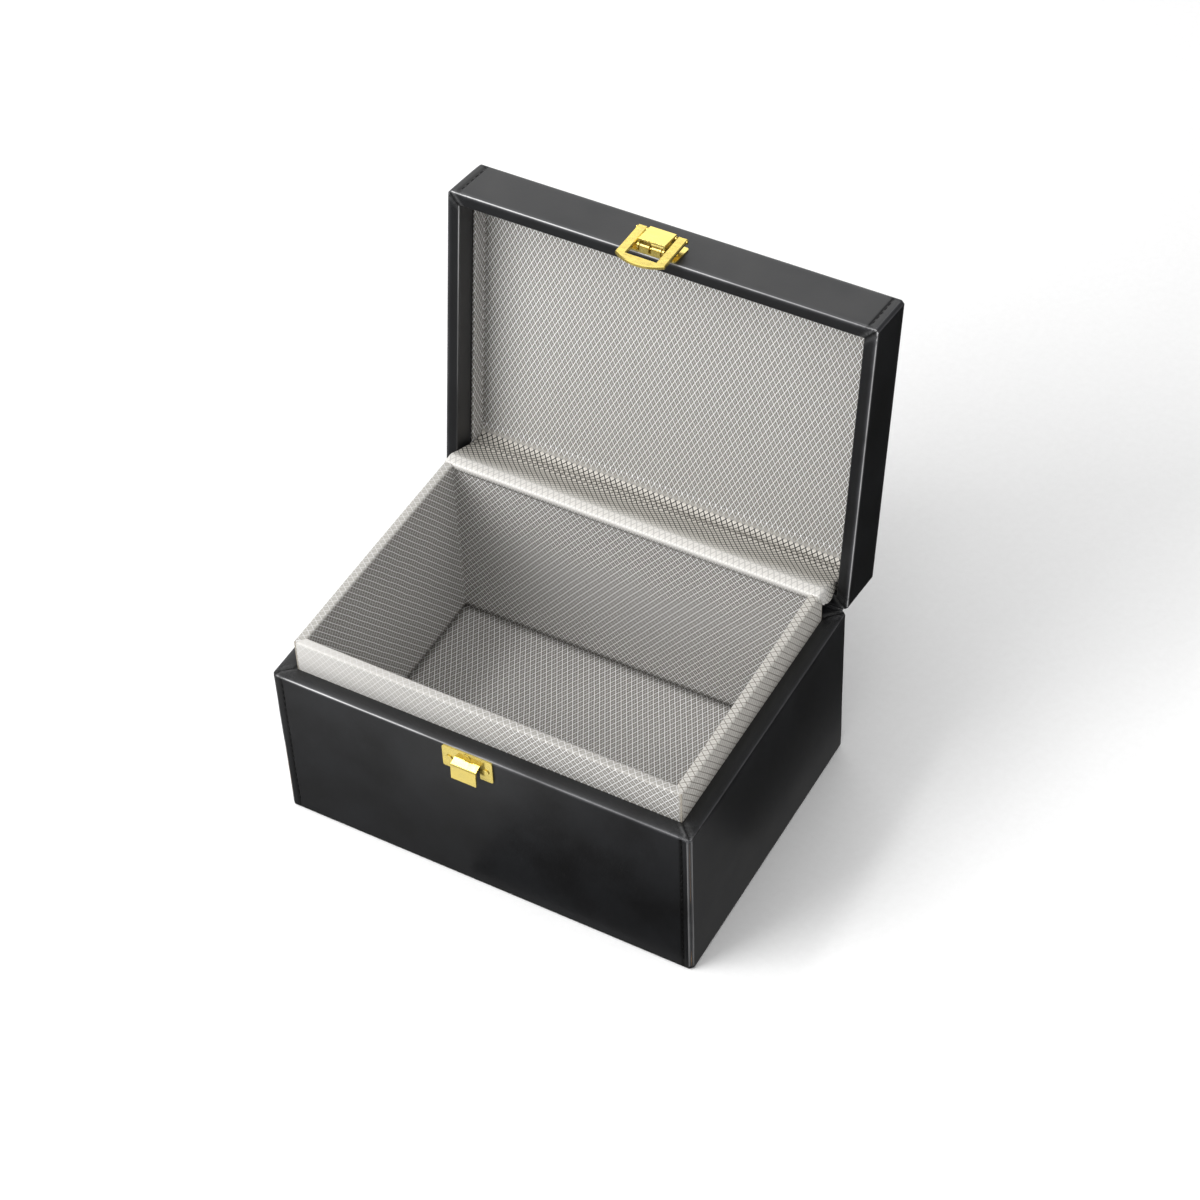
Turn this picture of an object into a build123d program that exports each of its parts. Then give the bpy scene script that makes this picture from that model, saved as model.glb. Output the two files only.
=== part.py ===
"""A signal-blocking key box: a leather-covered board box with a hinged lid,
a conductive cloth lining that stands up as a lip, and a toggle latch.

Millimetres, +Z up. X runs along the front, +Y points to the hinge at the back.
The origin is the centre of the base's underside. The lid is modelled open.
"""

from build123d import *
import os
from math import cos, radians, sin

os.makedirs("parts", exist_ok=True)

# Outer size of the box, its leather included
box_width = 200.0
box_depth = 143.5
base_height = 84.5
lid_height = 26.3

# How far the lid stands open, and the gap that is left between the rims when it is shut
open_angle = 98.0
rim_gap = 0.35

# Sheet and board thicknesses
leather = 0.8
wall_board = 7.0
bottom_board = 6.0
liner_board = 3.9
cloth = 0.3
lid_wall_board = 4.2
lid_top_board = 4.0
insert_strip = 1.2
insert_panel_board = 2.0

# The silver lip: how far it stands above the rim, and how far its cloth reaches down outside
lip_height = 16.0
cloth_tuck = 20.0

# Inside of the lid: the leather turns in this far from the rim, then the silver insert starts
lid_turn_in = 12.0

# Hinge: the outer leather strip, and the silver cloth that bridges the gap inside
hinge_leather = 0.6
hinge_strip_reach = 14.0
hinge_clearance = 0.3
gusset_thickness = 0.6
gusset_clearance = 0.3
gusset_glue_height = 5.0
gusset_end_gap = 2.0
gusset_sag = 1.2

# Stitching along both ends of the front faces
stitch_inset = 4.5
stitch_length = 2.6
stitch_pitch = 3.8
stitch_width = 0.6
stitch_height = 0.3

# Latch, seen from the front: all of it is centred a little left of the middle
latch_x = -3.6
plate_width = 24.0
plate_thickness = 0.8
plate_low = 0.4
plate_high = 12.8
plate_corner = 1.2

# Lever pivot and loop pin, as height above the lid rim and distance out of the lid's front
pivot_up = 1.8
pivot_out = 2.4
pin_up = 11.0
pin_out = 4.4
pivot_radius = 0.6
pin_radius = 0.5
pin_clearance = 0.05
knuckle_radius = 1.4
cheek_clearance = 0.25
knuckle_length = 4.2
knuckle_inner_x = 0.65

lever_width = 12.5
lever_sheet = 0.8
lever_top_out = 5.9
lever_low = 1.5
lever_high = 12.4
lever_edge = 0.3

loop_width = 23.0
loop_opening = 14.2
loop_thickness = 1.8
loop_end = 1.3
loop_side = 19.3
loop_arc = 23.1
loop_open_end = 18.3
loop_droop = 6.0
loop_edge = 0.35
washer_thickness = 0.5
washer_radius = 1.15
pin_head = 0.4
pin_head_radius = 0.75

# Keeper on the base, as drops below the rim
keeper_width = 24.0
keeper_drop = 0.6
keeper_height = 12.1
keeper_thickness = 0.8
keeper_leg = 6.2
keeper_band = 5.0
keeper_corner = 1.0
tongue_width = 12.0
tongue_sheet = 0.8
tongue_top_drop = 5.9
tongue_length = 8.2
tongue_root_out = 3.7
tongue_tip_out = 4.0

screw_radius = 0.9
screw_head_radius = 1.6
screw_head_height = 0.45
screw_length = 3.0
screw_clearance = 0.02
screw_spacing = 17.5
screw_drop = 7.1
plate_screw_up = 6.6
rivet_radius = 1.8
rivet_height = 0.3
rivet_drop = 2.75

# What follows from the sizes above
half_width = box_width / 2
half_depth = box_depth / 2
ledge = leather + wall_board
liner_half_x = half_width - ledge
liner_half_y = half_depth - ledge
liner_wall = liner_board + 2 * cloth
inside_half_x = liner_half_x - liner_wall
inside_half_y = liner_half_y - liner_wall
board_floor = leather + bottom_board
liner_floor = board_floor + liner_board
base_floor = liner_floor + cloth
rim = base_height - leather
lip_top = base_height + lip_height
cloth_bottom = base_height - cloth_tuck
lid_wall = lid_wall_board + 2 * leather
lid_half_x = half_width - lid_wall
insert_half_x = lid_half_x - insert_strip
lid_skin_top = lid_height - leather
lid_board_low = lid_skin_top - lid_top_board
insert_face = lid_board_low - insert_panel_board
hinge_y = half_depth
hinge_z = base_height + rim_gap
keeper_high = base_height - keeper_drop
keeper_low = keeper_high - keeper_height
tongue_top = base_height - tongue_top_drop
tongue_tip = tongue_top - tongue_length
screw_up = base_height - screw_drop
rivet_up = base_height - rivet_drop

# The lid's own plane: its origin is on the hinge axis, its Z points from the rim to the lid's top,
# and its Y points from the lid's front to the hinge, as the world's does when the lid is shut
angle = radians(open_angle)
lid_plane = Plane(origin=(0, hinge_y, hinge_z), x_dir=(1, 0, 0), z_dir=(0, sin(angle), cos(angle)))


def lid_point(x, y, z):
    """A point given in the lid's plane, as a world point."""
    return lid_plane.from_local_coords(Vector(x, y, z))


def lid_front(out):
    """The plane that lies out of the lid's front face: its X is the world's, its Y the lid's Z."""
    origin = lid_point(latch_x, -box_depth - out, 0)
    return Plane(origin=origin, x_dir=(1, 0, 0), z_dir=-lid_plane.y_dir)


def latch_section(x):
    """The plane that cuts the latch upright: its X runs out of the lid's front, its Y up the lid."""
    origin = lid_point(latch_x + x, -box_depth, 0)
    return Plane(origin=origin, x_dir=-lid_plane.y_dir, z_dir=(-1, 0, 0))


def slab(frame, x_low, x_high, y_low, y_high, z_low, z_high):
    """A flat board between six faces, measured in the given plane."""
    with BuildSketch(frame.offset(z_low)) as outline:
        with Locations(((x_low + x_high) / 2, (y_low + y_high) / 2)):
            Rectangle(x_high - x_low, y_high - y_low)
    extrude(outline.sketch, amount=z_high - z_low)


def mitred_fold(frame, outer, inner, z_low, z_high):
    """A strip of a rim with mitred ends: outer and inner each give the two end points of an edge."""
    with BuildSketch(frame.offset(z_low)) as outline:
        with BuildLine():
            Polyline(outer[0], outer[1], inner[1], inner[0], close=True)
        make_face()
    extrude(outline.sketch, amount=z_high - z_low)


def keeper_holes():
    """The holes that the keeper's screws and rivet fill, cut into the part being built."""
    with BuildSketch(Plane.XZ.offset(half_depth - screw_length)) as holes:
        with Locations((latch_x - screw_spacing / 2, screw_up), (latch_x + screw_spacing / 2, screw_up)):
            Circle(screw_radius + screw_clearance)
        with Locations((latch_x, rivet_up)):
            Circle(rivet_radius / 2 + screw_clearance)
    extrude(holes.sketch, amount=screw_length, mode=Mode.SUBTRACT)


def latch_holes():
    """The holes that the mounting plate's screws fill, cut into the part being built."""
    with BuildSketch(lid_front(-screw_length)) as holes:
        with Locations((-screw_spacing / 2, plate_screw_up), (screw_spacing / 2, plate_screw_up)):
            Circle(screw_radius + screw_clearance)
    extrude(holes.sketch, amount=screw_length, mode=Mode.SUBTRACT)


def save(piece, label):
    piece.part.label = label
    export_step(piece.part, f"parts/{label}.step")


# ---------------------------------------------------------------------------
# Base: boards
# ---------------------------------------------------------------------------
skin_x = half_width - leather
skin_y = half_depth - leather

with BuildPart() as base_board_bottom:
    slab(Plane.XY, -skin_x, skin_x, -skin_y, skin_y, leather, board_floor)
save(base_board_bottom, "base_board_bottom")

with BuildPart() as base_board_front:
    slab(Plane.XY, -skin_x, skin_x, -skin_y, -liner_half_y, board_floor, rim)
    keeper_holes()
save(base_board_front, "base_board_front")

with BuildPart() as base_board_back:
    slab(Plane.XY, -skin_x, skin_x, liner_half_y, skin_y, board_floor, rim)
save(base_board_back, "base_board_back")

with BuildPart() as base_board_left:
    slab(Plane.XY, -skin_x, -liner_half_x, -liner_half_y, liner_half_y, board_floor, rim)
save(base_board_left, "base_board_left")

with BuildPart() as base_board_right:
    slab(Plane.XY, liner_half_x, skin_x, -liner_half_y, liner_half_y, board_floor, rim)
save(base_board_right, "base_board_right")

# ---------------------------------------------------------------------------
# Base: leather, each sheet running up its wall and folding over the rim with mitred corners
# ---------------------------------------------------------------------------
with BuildPart() as base_leather_bottom:
    slab(Plane.XY, -skin_x, skin_x, -skin_y, skin_y, 0, leather)
save(base_leather_bottom, "base_leather_bottom")

rim_outer = [
    (-half_width, -half_depth),
    (half_width, -half_depth),
    (half_width, half_depth),
    (-half_width, half_depth),
]
rim_inner = [
    (-liner_half_x, -liner_half_y),
    (liner_half_x, -liner_half_y),
    (liner_half_x, liner_half_y),
    (-liner_half_x, liner_half_y),
]

with BuildPart() as base_leather_front:
    slab(Plane.XY, -half_width, half_width, -half_depth, -skin_y, 0, rim)
    mitred_fold(Plane.XY, rim_outer[0:2], rim_inner[0:2], rim, base_height)
    keeper_holes()
save(base_leather_front, "base_leather_front")

with BuildPart() as base_leather_right:
    slab(Plane.XY, skin_x, half_width, -skin_y, skin_y, 0, rim)
    mitred_fold(Plane.XY, rim_outer[1:3], rim_inner[1:3], rim, base_height)
save(base_leather_right, "base_leather_right")

with BuildPart() as base_leather_back:
    slab(Plane.XY, -half_width, half_width, skin_y, half_depth, 0, rim)
    mitred_fold(Plane.XY, rim_outer[2:4], rim_inner[2:4], rim, base_height)
save(base_leather_back, "base_leather_back")

with BuildPart() as base_leather_left:
    slab(Plane.XY, -half_width, -skin_x, -skin_y, skin_y, 0, rim)
    mitred_fold(Plane.XY, [rim_outer[3], rim_outer[0]], [rim_inner[3], rim_inner[0]], rim, base_height)
save(base_leather_left, "base_leather_left")

# ---------------------------------------------------------------------------
# Lining of the base: boards that stand up past the rim as a lip, each under its own cloth
# ---------------------------------------------------------------------------
board_x = liner_half_x - cloth
board_y = liner_half_y - cloth
board_top = lip_top - cloth

with BuildPart() as liner_board_floor:
    slab(Plane.XY, -liner_half_x, liner_half_x, -liner_half_y, liner_half_y, board_floor, liner_floor)
save(liner_board_floor, "liner_board_floor")

with BuildPart() as liner_board_front:
    slab(Plane.XY, -board_x, board_x, -board_y, -board_y + liner_board, liner_floor, board_top)
save(liner_board_front, "liner_board_front")

with BuildPart() as liner_board_back:
    slab(Plane.XY, -board_x, board_x, board_y - liner_board, board_y, liner_floor, board_top)
save(liner_board_back, "liner_board_back")

side_board_y = board_y - liner_board

with BuildPart() as liner_board_left:
    slab(Plane.XY, -board_x, -board_x + liner_board, -side_board_y, side_board_y, liner_floor, board_top)
save(liner_board_left, "liner_board_left")

with BuildPart() as liner_board_right:
    slab(Plane.XY, board_x - liner_board, board_x, -side_board_y, side_board_y, liner_floor, board_top)
save(liner_board_right, "liner_board_right")

with BuildPart() as liner_cloth_floor:
    slab(Plane.XY, -inside_half_x, inside_half_x, -inside_half_y, inside_half_y, liner_floor, base_floor)
save(liner_cloth_floor, "liner_cloth_floor")

with BuildPart() as liner_cloth_front:
    slab(Plane.XY, -liner_half_x, liner_half_x, -liner_half_y, -board_y, cloth_bottom, board_top)
    slab(Plane.XY, -liner_half_x, liner_half_x, -liner_half_y, -inside_half_y, board_top, lip_top)
    slab(Plane.XY, -inside_half_x, inside_half_x, -side_board_y, -inside_half_y, liner_floor, board_top)
save(liner_cloth_front, "liner_cloth_front")

with BuildPart() as liner_cloth_back:
    slab(Plane.XY, -liner_half_x, liner_half_x, board_y, liner_half_y, cloth_bottom, board_top)
    slab(Plane.XY, -liner_half_x, liner_half_x, inside_half_y, liner_half_y, board_top, lip_top)
    slab(Plane.XY, -inside_half_x, inside_half_x, inside_half_y, side_board_y, liner_floor, board_top)
save(liner_cloth_back, "liner_cloth_back")

side_board_x = board_x - liner_board

with BuildPart() as liner_cloth_left:
    slab(Plane.XY, -liner_half_x, -board_x, -board_y, board_y, cloth_bottom, board_top)
    slab(Plane.XY, -liner_half_x, -inside_half_x, -inside_half_y, inside_half_y, board_top, lip_top)
    slab(Plane.XY, -side_board_x, -inside_half_x, -inside_half_y, inside_half_y, liner_floor, board_top)
save(liner_cloth_left, "liner_cloth_left")

with BuildPart() as liner_cloth_right:
    slab(Plane.XY, board_x, liner_half_x, -board_y, board_y, cloth_bottom, board_top)
    slab(Plane.XY, inside_half_x, liner_half_x, -inside_half_y, inside_half_y, board_top, lip_top)
    slab(Plane.XY, inside_half_x, side_board_x, -inside_half_y, inside_half_y, liner_floor, board_top)
save(liner_cloth_right, "liner_cloth_right")

# ---------------------------------------------------------------------------
# Lid: boards and leather, all measured from the hinge axis in the lid's plane
# ---------------------------------------------------------------------------
lid_front_skin = -box_depth + leather
lid_front_inner = -box_depth + lid_wall
lid_front_board = lid_front_inner - leather
lid_back_board = -lid_wall + leather
lid_side_board = lid_half_x + leather

with BuildPart() as lid_board_top:
    slab(lid_plane, -skin_x, skin_x, lid_front_skin, -leather, lid_board_low, lid_skin_top)
save(lid_board_top, "lid_board_top")

with BuildPart() as lid_board_front:
    slab(lid_plane, -skin_x, skin_x, lid_front_skin, lid_front_board, leather, lid_board_low)
    latch_holes()
save(lid_board_front, "lid_board_front")

with BuildPart() as lid_board_back:
    slab(lid_plane, -skin_x, skin_x, lid_back_board, -leather, leather, lid_board_low)
save(lid_board_back, "lid_board_back")

with BuildPart() as lid_board_left:
    slab(lid_plane, -skin_x, -lid_side_board, lid_front_board, lid_back_board, leather, lid_board_low)
save(lid_board_left, "lid_board_left")

with BuildPart() as lid_board_right:
    slab(lid_plane, lid_side_board, skin_x, lid_front_board, lid_back_board, leather, lid_board_low)
save(lid_board_right, "lid_board_right")

lid_outer = [(-half_width, -box_depth), (half_width, -box_depth), (half_width, 0), (-half_width, 0)]
lid_inner = [
    (-lid_half_x, lid_front_inner),
    (lid_half_x, lid_front_inner),
    (lid_half_x, -lid_wall),
    (-lid_half_x, -lid_wall),
]

with BuildPart() as lid_leather_top:
    slab(lid_plane, -half_width, half_width, -box_depth, 0, lid_skin_top, lid_height)
save(lid_leather_top, "lid_leather_top")

with BuildPart() as lid_leather_front:
    slab(lid_plane, -half_width, half_width, -box_depth, lid_front_skin, leather, lid_skin_top)
    mitred_fold(lid_plane, lid_outer[0:2], lid_inner[0:2], 0, leather)
    slab(lid_plane, -lid_half_x, lid_half_x, lid_front_board, lid_front_inner, leather, lid_turn_in)
    latch_holes()
save(lid_leather_front, "lid_leather_front")

with BuildPart() as lid_leather_right:
    slab(lid_plane, skin_x, half_width, lid_front_skin, -leather, leather, lid_skin_top)
    mitred_fold(lid_plane, lid_outer[1:3], lid_inner[1:3], 0, leather)
    slab(lid_plane, lid_half_x, lid_side_board, lid_front_inner, -lid_wall, leather, lid_turn_in)
save(lid_leather_right, "lid_leather_right")

with BuildPart() as lid_leather_back:
    slab(lid_plane, -half_width, half_width, -leather, 0, leather, lid_skin_top)
    mitred_fold(lid_plane, lid_outer[2:4], lid_inner[2:4], 0, leather)
    slab(lid_plane, -lid_half_x, lid_half_x, -lid_wall, lid_back_board, leather, lid_turn_in)
save(lid_leather_back, "lid_leather_back")

with BuildPart() as lid_leather_left:
    slab(lid_plane, -half_width, -skin_x, lid_front_skin, -leather, leather, lid_skin_top)
    mitred_fold(lid_plane, [lid_outer[3], lid_outer[0]], [lid_inner[3], lid_inner[0]], 0, leather)
    slab(lid_plane, -lid_side_board, -lid_half_x, lid_front_inner, -lid_wall, leather, lid_turn_in)
save(lid_leather_left, "lid_leather_left")

# Silver insert of the lid: a panel against the top board, and a strip along each wall. The strips
# lie on the leather and on the board beyond it, so they are a shallow step in section.
with BuildPart() as lid_insert_panel:
    slab(lid_plane, -lid_half_x, lid_half_x, lid_front_inner, -lid_wall, insert_face, lid_board_low)
save(lid_insert_panel, "lid_insert_panel")

with BuildPart() as lid_insert_front:
    slab(lid_plane, -lid_half_x, lid_half_x, lid_front_inner, lid_front_inner + insert_strip, lid_turn_in, insert_face)
    slab(lid_plane, -lid_half_x, lid_half_x, lid_front_board, lid_front_inner, lid_turn_in, insert_face)
save(lid_insert_front, "lid_insert_front")

with BuildPart() as lid_insert_back:
    slab(lid_plane, -lid_half_x, lid_half_x, -lid_wall - insert_strip, -lid_wall, lid_turn_in, insert_face)
    slab(lid_plane, -lid_half_x, lid_half_x, -lid_wall, lid_back_board, lid_turn_in, insert_face)
save(lid_insert_back, "lid_insert_back")

strip_front = lid_front_inner + insert_strip
strip_back = -lid_wall - insert_strip

with BuildPart() as lid_insert_left:
    slab(lid_plane, -lid_side_board, -insert_half_x, strip_front, strip_back, lid_turn_in, insert_face)
save(lid_insert_left, "lid_insert_left")

with BuildPart() as lid_insert_right:
    slab(lid_plane, insert_half_x, lid_side_board, strip_front, strip_back, lid_turn_in, insert_face)
save(lid_insert_right, "lid_insert_right")

# ---------------------------------------------------------------------------
# Hinge: a leather strip round the outside, and silver cloth across the gap inside
# ---------------------------------------------------------------------------
strip_base_back = hinge_y + hinge_leather
strip_below_lid = -hinge_clearance

with BuildPart() as hinge_leather_strip:
    with BuildSketch(Plane.YZ.offset(-skin_x)):
        lid_side_end = lid_point(0, hinge_clearance, hinge_strip_reach)
        lid_side_end_low = lid_point(0, hinge_clearance + hinge_leather, hinge_strip_reach)
        lid_side_start = lid_point(0, hinge_clearance, hinge_leather)
        lid_side_start_low = lid_point(0, hinge_clearance + hinge_leather, hinge_leather)
        with BuildLine():
            Polyline(
                (hinge_y, base_height - hinge_strip_reach),
                (strip_base_back, base_height - hinge_strip_reach),
                (strip_base_back, lid_side_start_low.Z),
                (lid_side_end_low.Y, lid_side_end_low.Z),
                (lid_side_end.Y, lid_side_end.Z),
                (lid_side_start.Y, lid_side_start.Z),
                (hinge_y, base_height - rim_gap / 2),
                close=True,
            )
        make_face()
    extrude(amount=2 * skin_x)
save(hinge_leather_strip, "hinge_leather_strip")

gusset_near = liner_half_y + gusset_thickness
gusset_fold = lid_point(0, -lid_wall - gusset_clearance, lid_turn_in - gusset_end_gap)
gusset_fold_top = lid_point(0, -lid_wall - gusset_clearance - gusset_thickness, lid_turn_in - gusset_end_gap)
gusset_span = Vector(0, gusset_fold_top.Y - liner_half_y, gusset_fold_top.Z - lip_top)
gusset_down = Vector(0, gusset_span.Z, -gusset_span.Y).normalized() * gusset_sag
gusset_half_x = liner_half_x - cloth

with BuildPart() as hinge_cloth:
    with BuildSketch(Plane.YZ.offset(-gusset_half_x)):
        middle_y = (liner_half_y + gusset_fold_top.Y) / 2 + gusset_down.Y
        middle_z = (lip_top + gusset_fold_top.Z) / 2 + gusset_down.Z
        with BuildLine():
            ThreePointArc(
                (liner_half_y, lip_top), (middle_y, middle_z), (gusset_fold_top.Y, gusset_fold_top.Z)
            )
            Line((gusset_fold_top.Y, gusset_fold_top.Z), (gusset_fold.Y, gusset_fold.Z))
            ThreePointArc(
                (gusset_fold.Y, gusset_fold.Z),
                (middle_y, middle_z - gusset_thickness),
                (gusset_near, lip_top - gusset_thickness - gusset_clearance),
            )
            Polyline(
                (gusset_near, lip_top - gusset_thickness - gusset_clearance),
                (gusset_near, lip_top - gusset_glue_height),
                (liner_half_y, lip_top - gusset_glue_height),
                (liner_half_y, lip_top),
            )
        make_face()
    extrude(amount=2 * gusset_half_x)
save(hinge_cloth, "hinge_cloth")

# ---------------------------------------------------------------------------
# Stitching: rows of thread beside both ends of the front faces
# ---------------------------------------------------------------------------
base_stitches = int((base_height - 2 * stitch_inset) / stitch_pitch)
lid_stitches = int((lid_height - 2 * stitch_inset) / stitch_pitch)
stitch_span = box_width - 2 * stitch_inset

with BuildPart() as base_stitching:
    with BuildSketch(Plane.XZ.offset(half_depth)):
        with Locations((0, base_height / 2)):
            with GridLocations(stitch_span, stitch_pitch, 2, base_stitches):
                Rectangle(stitch_width, stitch_length)
    extrude(amount=stitch_height)
save(base_stitching, "base_stitching")

with BuildPart() as lid_stitching:
    with BuildSketch(lid_front(0)):
        with Locations((-latch_x, lid_height / 2)):
            with GridLocations(stitch_span, stitch_pitch, 2, lid_stitches):
                Rectangle(stitch_width, stitch_length)
    extrude(amount=stitch_height)
save(lid_stitching, "lid_stitching")

# ---------------------------------------------------------------------------
# Keeper on the base: a plate with two legs, and a hooked tongue between them
# ---------------------------------------------------------------------------
keeper_front = half_depth + keeper_thickness
keeper_notch = keeper_width - 2 * keeper_leg

with BuildPart() as keeper_plate:
    with BuildSketch(Plane.XZ.offset(half_depth)):
        with Locations((latch_x, (keeper_low + keeper_high) / 2)):
            RectangleRounded(keeper_width, keeper_height, keeper_corner)
        with Locations((latch_x, keeper_low + (keeper_height - keeper_band) / 2)):
            Rectangle(keeper_notch, keeper_height - keeper_band, mode=Mode.SUBTRACT)
        with Locations((latch_x - screw_spacing / 2, screw_up), (latch_x + screw_spacing / 2, screw_up)):
            Circle(screw_radius + screw_clearance, mode=Mode.SUBTRACT)
        with Locations((latch_x, rivet_up)):
            Circle(rivet_radius / 2 + screw_clearance, mode=Mode.SUBTRACT)
    extrude(amount=keeper_thickness)
    # The tongue folds out of the band and points down, its hollow side to the wall
    tongue_root = keeper_high - keeper_band
    with BuildSketch(Plane.YZ.offset(latch_x - tongue_width / 2)):
        with BuildLine():
            Polyline(
                (-half_depth, tongue_root + tongue_sheet),
                (-half_depth, tongue_root),
                (-half_depth - keeper_thickness, tongue_root),
                (-half_depth - tongue_root_out, tongue_top - tongue_sheet),
                (-half_depth - tongue_tip_out, tongue_tip),
                (-half_depth - tongue_tip_out - tongue_sheet, tongue_tip),
                (-half_depth - tongue_root_out - tongue_sheet, tongue_top),
                (-half_depth - keeper_thickness, tongue_root + tongue_sheet),
                close=True,
            )
        make_face()
    extrude(amount=tongue_width)
    tongue_front = keeper_plate.faces().sort_by(Axis.Y)[0]
    fillet(tongue_front.edges().sort_by(Axis.Z)[-1], tongue_sheet)
save(keeper_plate, "keeper_plate")

with BuildPart() as keeper_screws:
    with BuildSketch(Plane.XZ.offset(half_depth - screw_length)):
        with Locations((latch_x - screw_spacing / 2, screw_up), (latch_x + screw_spacing / 2, screw_up)):
            Circle(screw_radius)
    extrude(amount=screw_length + keeper_thickness)
    with BuildSketch(Plane.XZ.offset(keeper_front)):
        with Locations((latch_x - screw_spacing / 2, screw_up), (latch_x + screw_spacing / 2, screw_up)):
            Circle(screw_head_radius)
    extrude(amount=screw_head_height)
save(keeper_screws, "keeper_screws")

with BuildPart() as keeper_rivet:
    with BuildSketch(Plane.XZ.offset(half_depth - screw_length)):
        with Locations((latch_x, rivet_up)):
            Circle(rivet_radius / 2)
    extrude(amount=screw_length + keeper_thickness)
    with BuildSketch(Plane.XZ.offset(keeper_front)):
        with Locations((latch_x, rivet_up)):
            Circle(rivet_radius)
    extrude(amount=rivet_height)
save(keeper_rivet, "keeper_rivet")

# ---------------------------------------------------------------------------
# Latch on the lid: mounting plate with two knuckles, lever, loop and their pins
# ---------------------------------------------------------------------------
knuckle_mid = knuckle_inner_x + knuckle_length / 2
knuckle_bore = pivot_radius + pin_clearance

with BuildPart() as latch_plate:
    with BuildSketch(lid_front(0)):
        with Locations((0, (plate_low + plate_high) / 2)):
            RectangleRounded(plate_width, plate_high - plate_low, plate_corner)
        with Locations((-screw_spacing / 2, plate_screw_up), (screw_spacing / 2, plate_screw_up)):
            Circle(screw_radius + screw_clearance, mode=Mode.SUBTRACT)
    extrude(amount=plate_thickness)
    for side in (-1, 1):
        with BuildSketch(latch_section(side * knuckle_mid + knuckle_length / 2)):
            with Locations((pivot_out, pivot_up)):
                Circle(knuckle_radius)
            with Locations((plate_thickness / 2 + pivot_out / 2, pivot_up)):
                Rectangle(pivot_out - plate_thickness, 2 * knuckle_radius)
            with Locations((pivot_out, pivot_up)):
                Circle(knuckle_bore, mode=Mode.SUBTRACT)
        extrude(amount=knuckle_length)
save(latch_plate, "latch_plate")

with BuildPart() as latch_plate_screws:
    with BuildSketch(lid_front(-screw_length)):
        with Locations((-screw_spacing / 2, plate_screw_up), (screw_spacing / 2, plate_screw_up)):
            Circle(screw_radius)
    extrude(amount=screw_length + plate_thickness)
    with BuildSketch(lid_front(plate_thickness)):
        with Locations((-screw_spacing / 2, plate_screw_up), (screw_spacing / 2, plate_screw_up)):
            Circle(screw_head_radius)
    extrude(amount=screw_head_height)
save(latch_plate_screws, "latch_plate_screws")

half_lever = lever_width / 2
cheek_foot = pivot_out - plate_thickness - cheek_clearance

with BuildPart() as lever_pivot_pin:
    with BuildSketch(latch_section(half_lever)):
        with Locations((pivot_out, pivot_up)):
            Circle(pivot_radius)
    extrude(amount=lever_width)
save(lever_pivot_pin, "lever_pivot_pin")

with BuildPart() as latch_lever:
    # The cover plate of the lever
    with BuildSketch(lid_front(lever_top_out - lever_sheet)):
        with Locations((0, (lever_low + lever_high) / 2)):
            Rectangle(lever_width, lever_high - lever_low)
    extrude(amount=lever_sheet)
    cover_normal = Axis(lid_front(0).origin, lid_front(0).z_dir)
    fillet(latch_lever.faces().sort_by(cover_normal)[-1].edges(), lever_edge)
    # Its two cheeks, which carry both pins
    for side in (-1, 1):
        with BuildSketch(latch_section(side * (half_lever - lever_sheet / 2) + lever_sheet / 2)):
            with BuildLine():
                Polyline(
                    (lever_top_out - lever_sheet, lever_low),
                    (lever_top_out - lever_sheet, lever_high),
                    (pin_out - pin_head_radius, lever_high),
                    (pin_out - washer_radius, pin_up),
                    (pivot_out - cheek_foot, pivot_up),
                    (pivot_out, lever_low),
                    close=True,
                )
            make_face()
            with Locations((pivot_out, pivot_up)):
                Circle(cheek_foot)
            with Locations((pivot_out, pivot_up)):
                Circle(pivot_radius + pin_clearance, mode=Mode.SUBTRACT)
            with Locations((pin_out, pin_up)):
                Circle(pin_radius + pin_clearance, mode=Mode.SUBTRACT)
        extrude(amount=lever_sheet)
save(latch_lever, "latch_lever")

half_loop = loop_width / 2

with BuildPart() as loop_pin:
    with BuildSketch(latch_section(half_loop)):
        with Locations((pin_out, pin_up)):
            Circle(pin_radius)
    extrude(amount=loop_width)
    for face_x in (half_loop + pin_head, -half_loop):
        with BuildSketch(latch_section(face_x)):
            with Locations((pin_out, pin_up)):
                Circle(pin_head_radius)
        extrude(amount=pin_head)
save(loop_pin, "loop_pin")

half_opening = loop_opening / 2
washer_gap = (half_opening - half_lever - washer_thickness) / 2

with BuildPart() as loop_washers:
    for side in (-1, 1):
        washer_mid = side * (half_lever + washer_gap + washer_thickness / 2)
        with BuildSketch(latch_section(washer_mid + washer_thickness / 2)):
            with Locations((pin_out, pin_up)):
                Circle(washer_radius)
                Circle(pin_radius + pin_clearance, mode=Mode.SUBTRACT)
        extrude(amount=washer_thickness)
save(loop_washers, "loop_washers")

# The loop hangs from its pin onto the rim's edge: its plane is tilted in by the droop
droop = radians(loop_droop)
pin_origin = lid_point(latch_x, -box_depth - pin_out, pin_up)
loop_up = lid_plane.z_dir * cos(droop) - lid_plane.y_dir * sin(droop)
loop_normal = -lid_plane.y_dir * cos(droop) - lid_plane.z_dir * sin(droop)
loop_plane = Plane(origin=pin_origin, x_dir=(1, 0, 0), z_dir=loop_normal)

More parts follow.
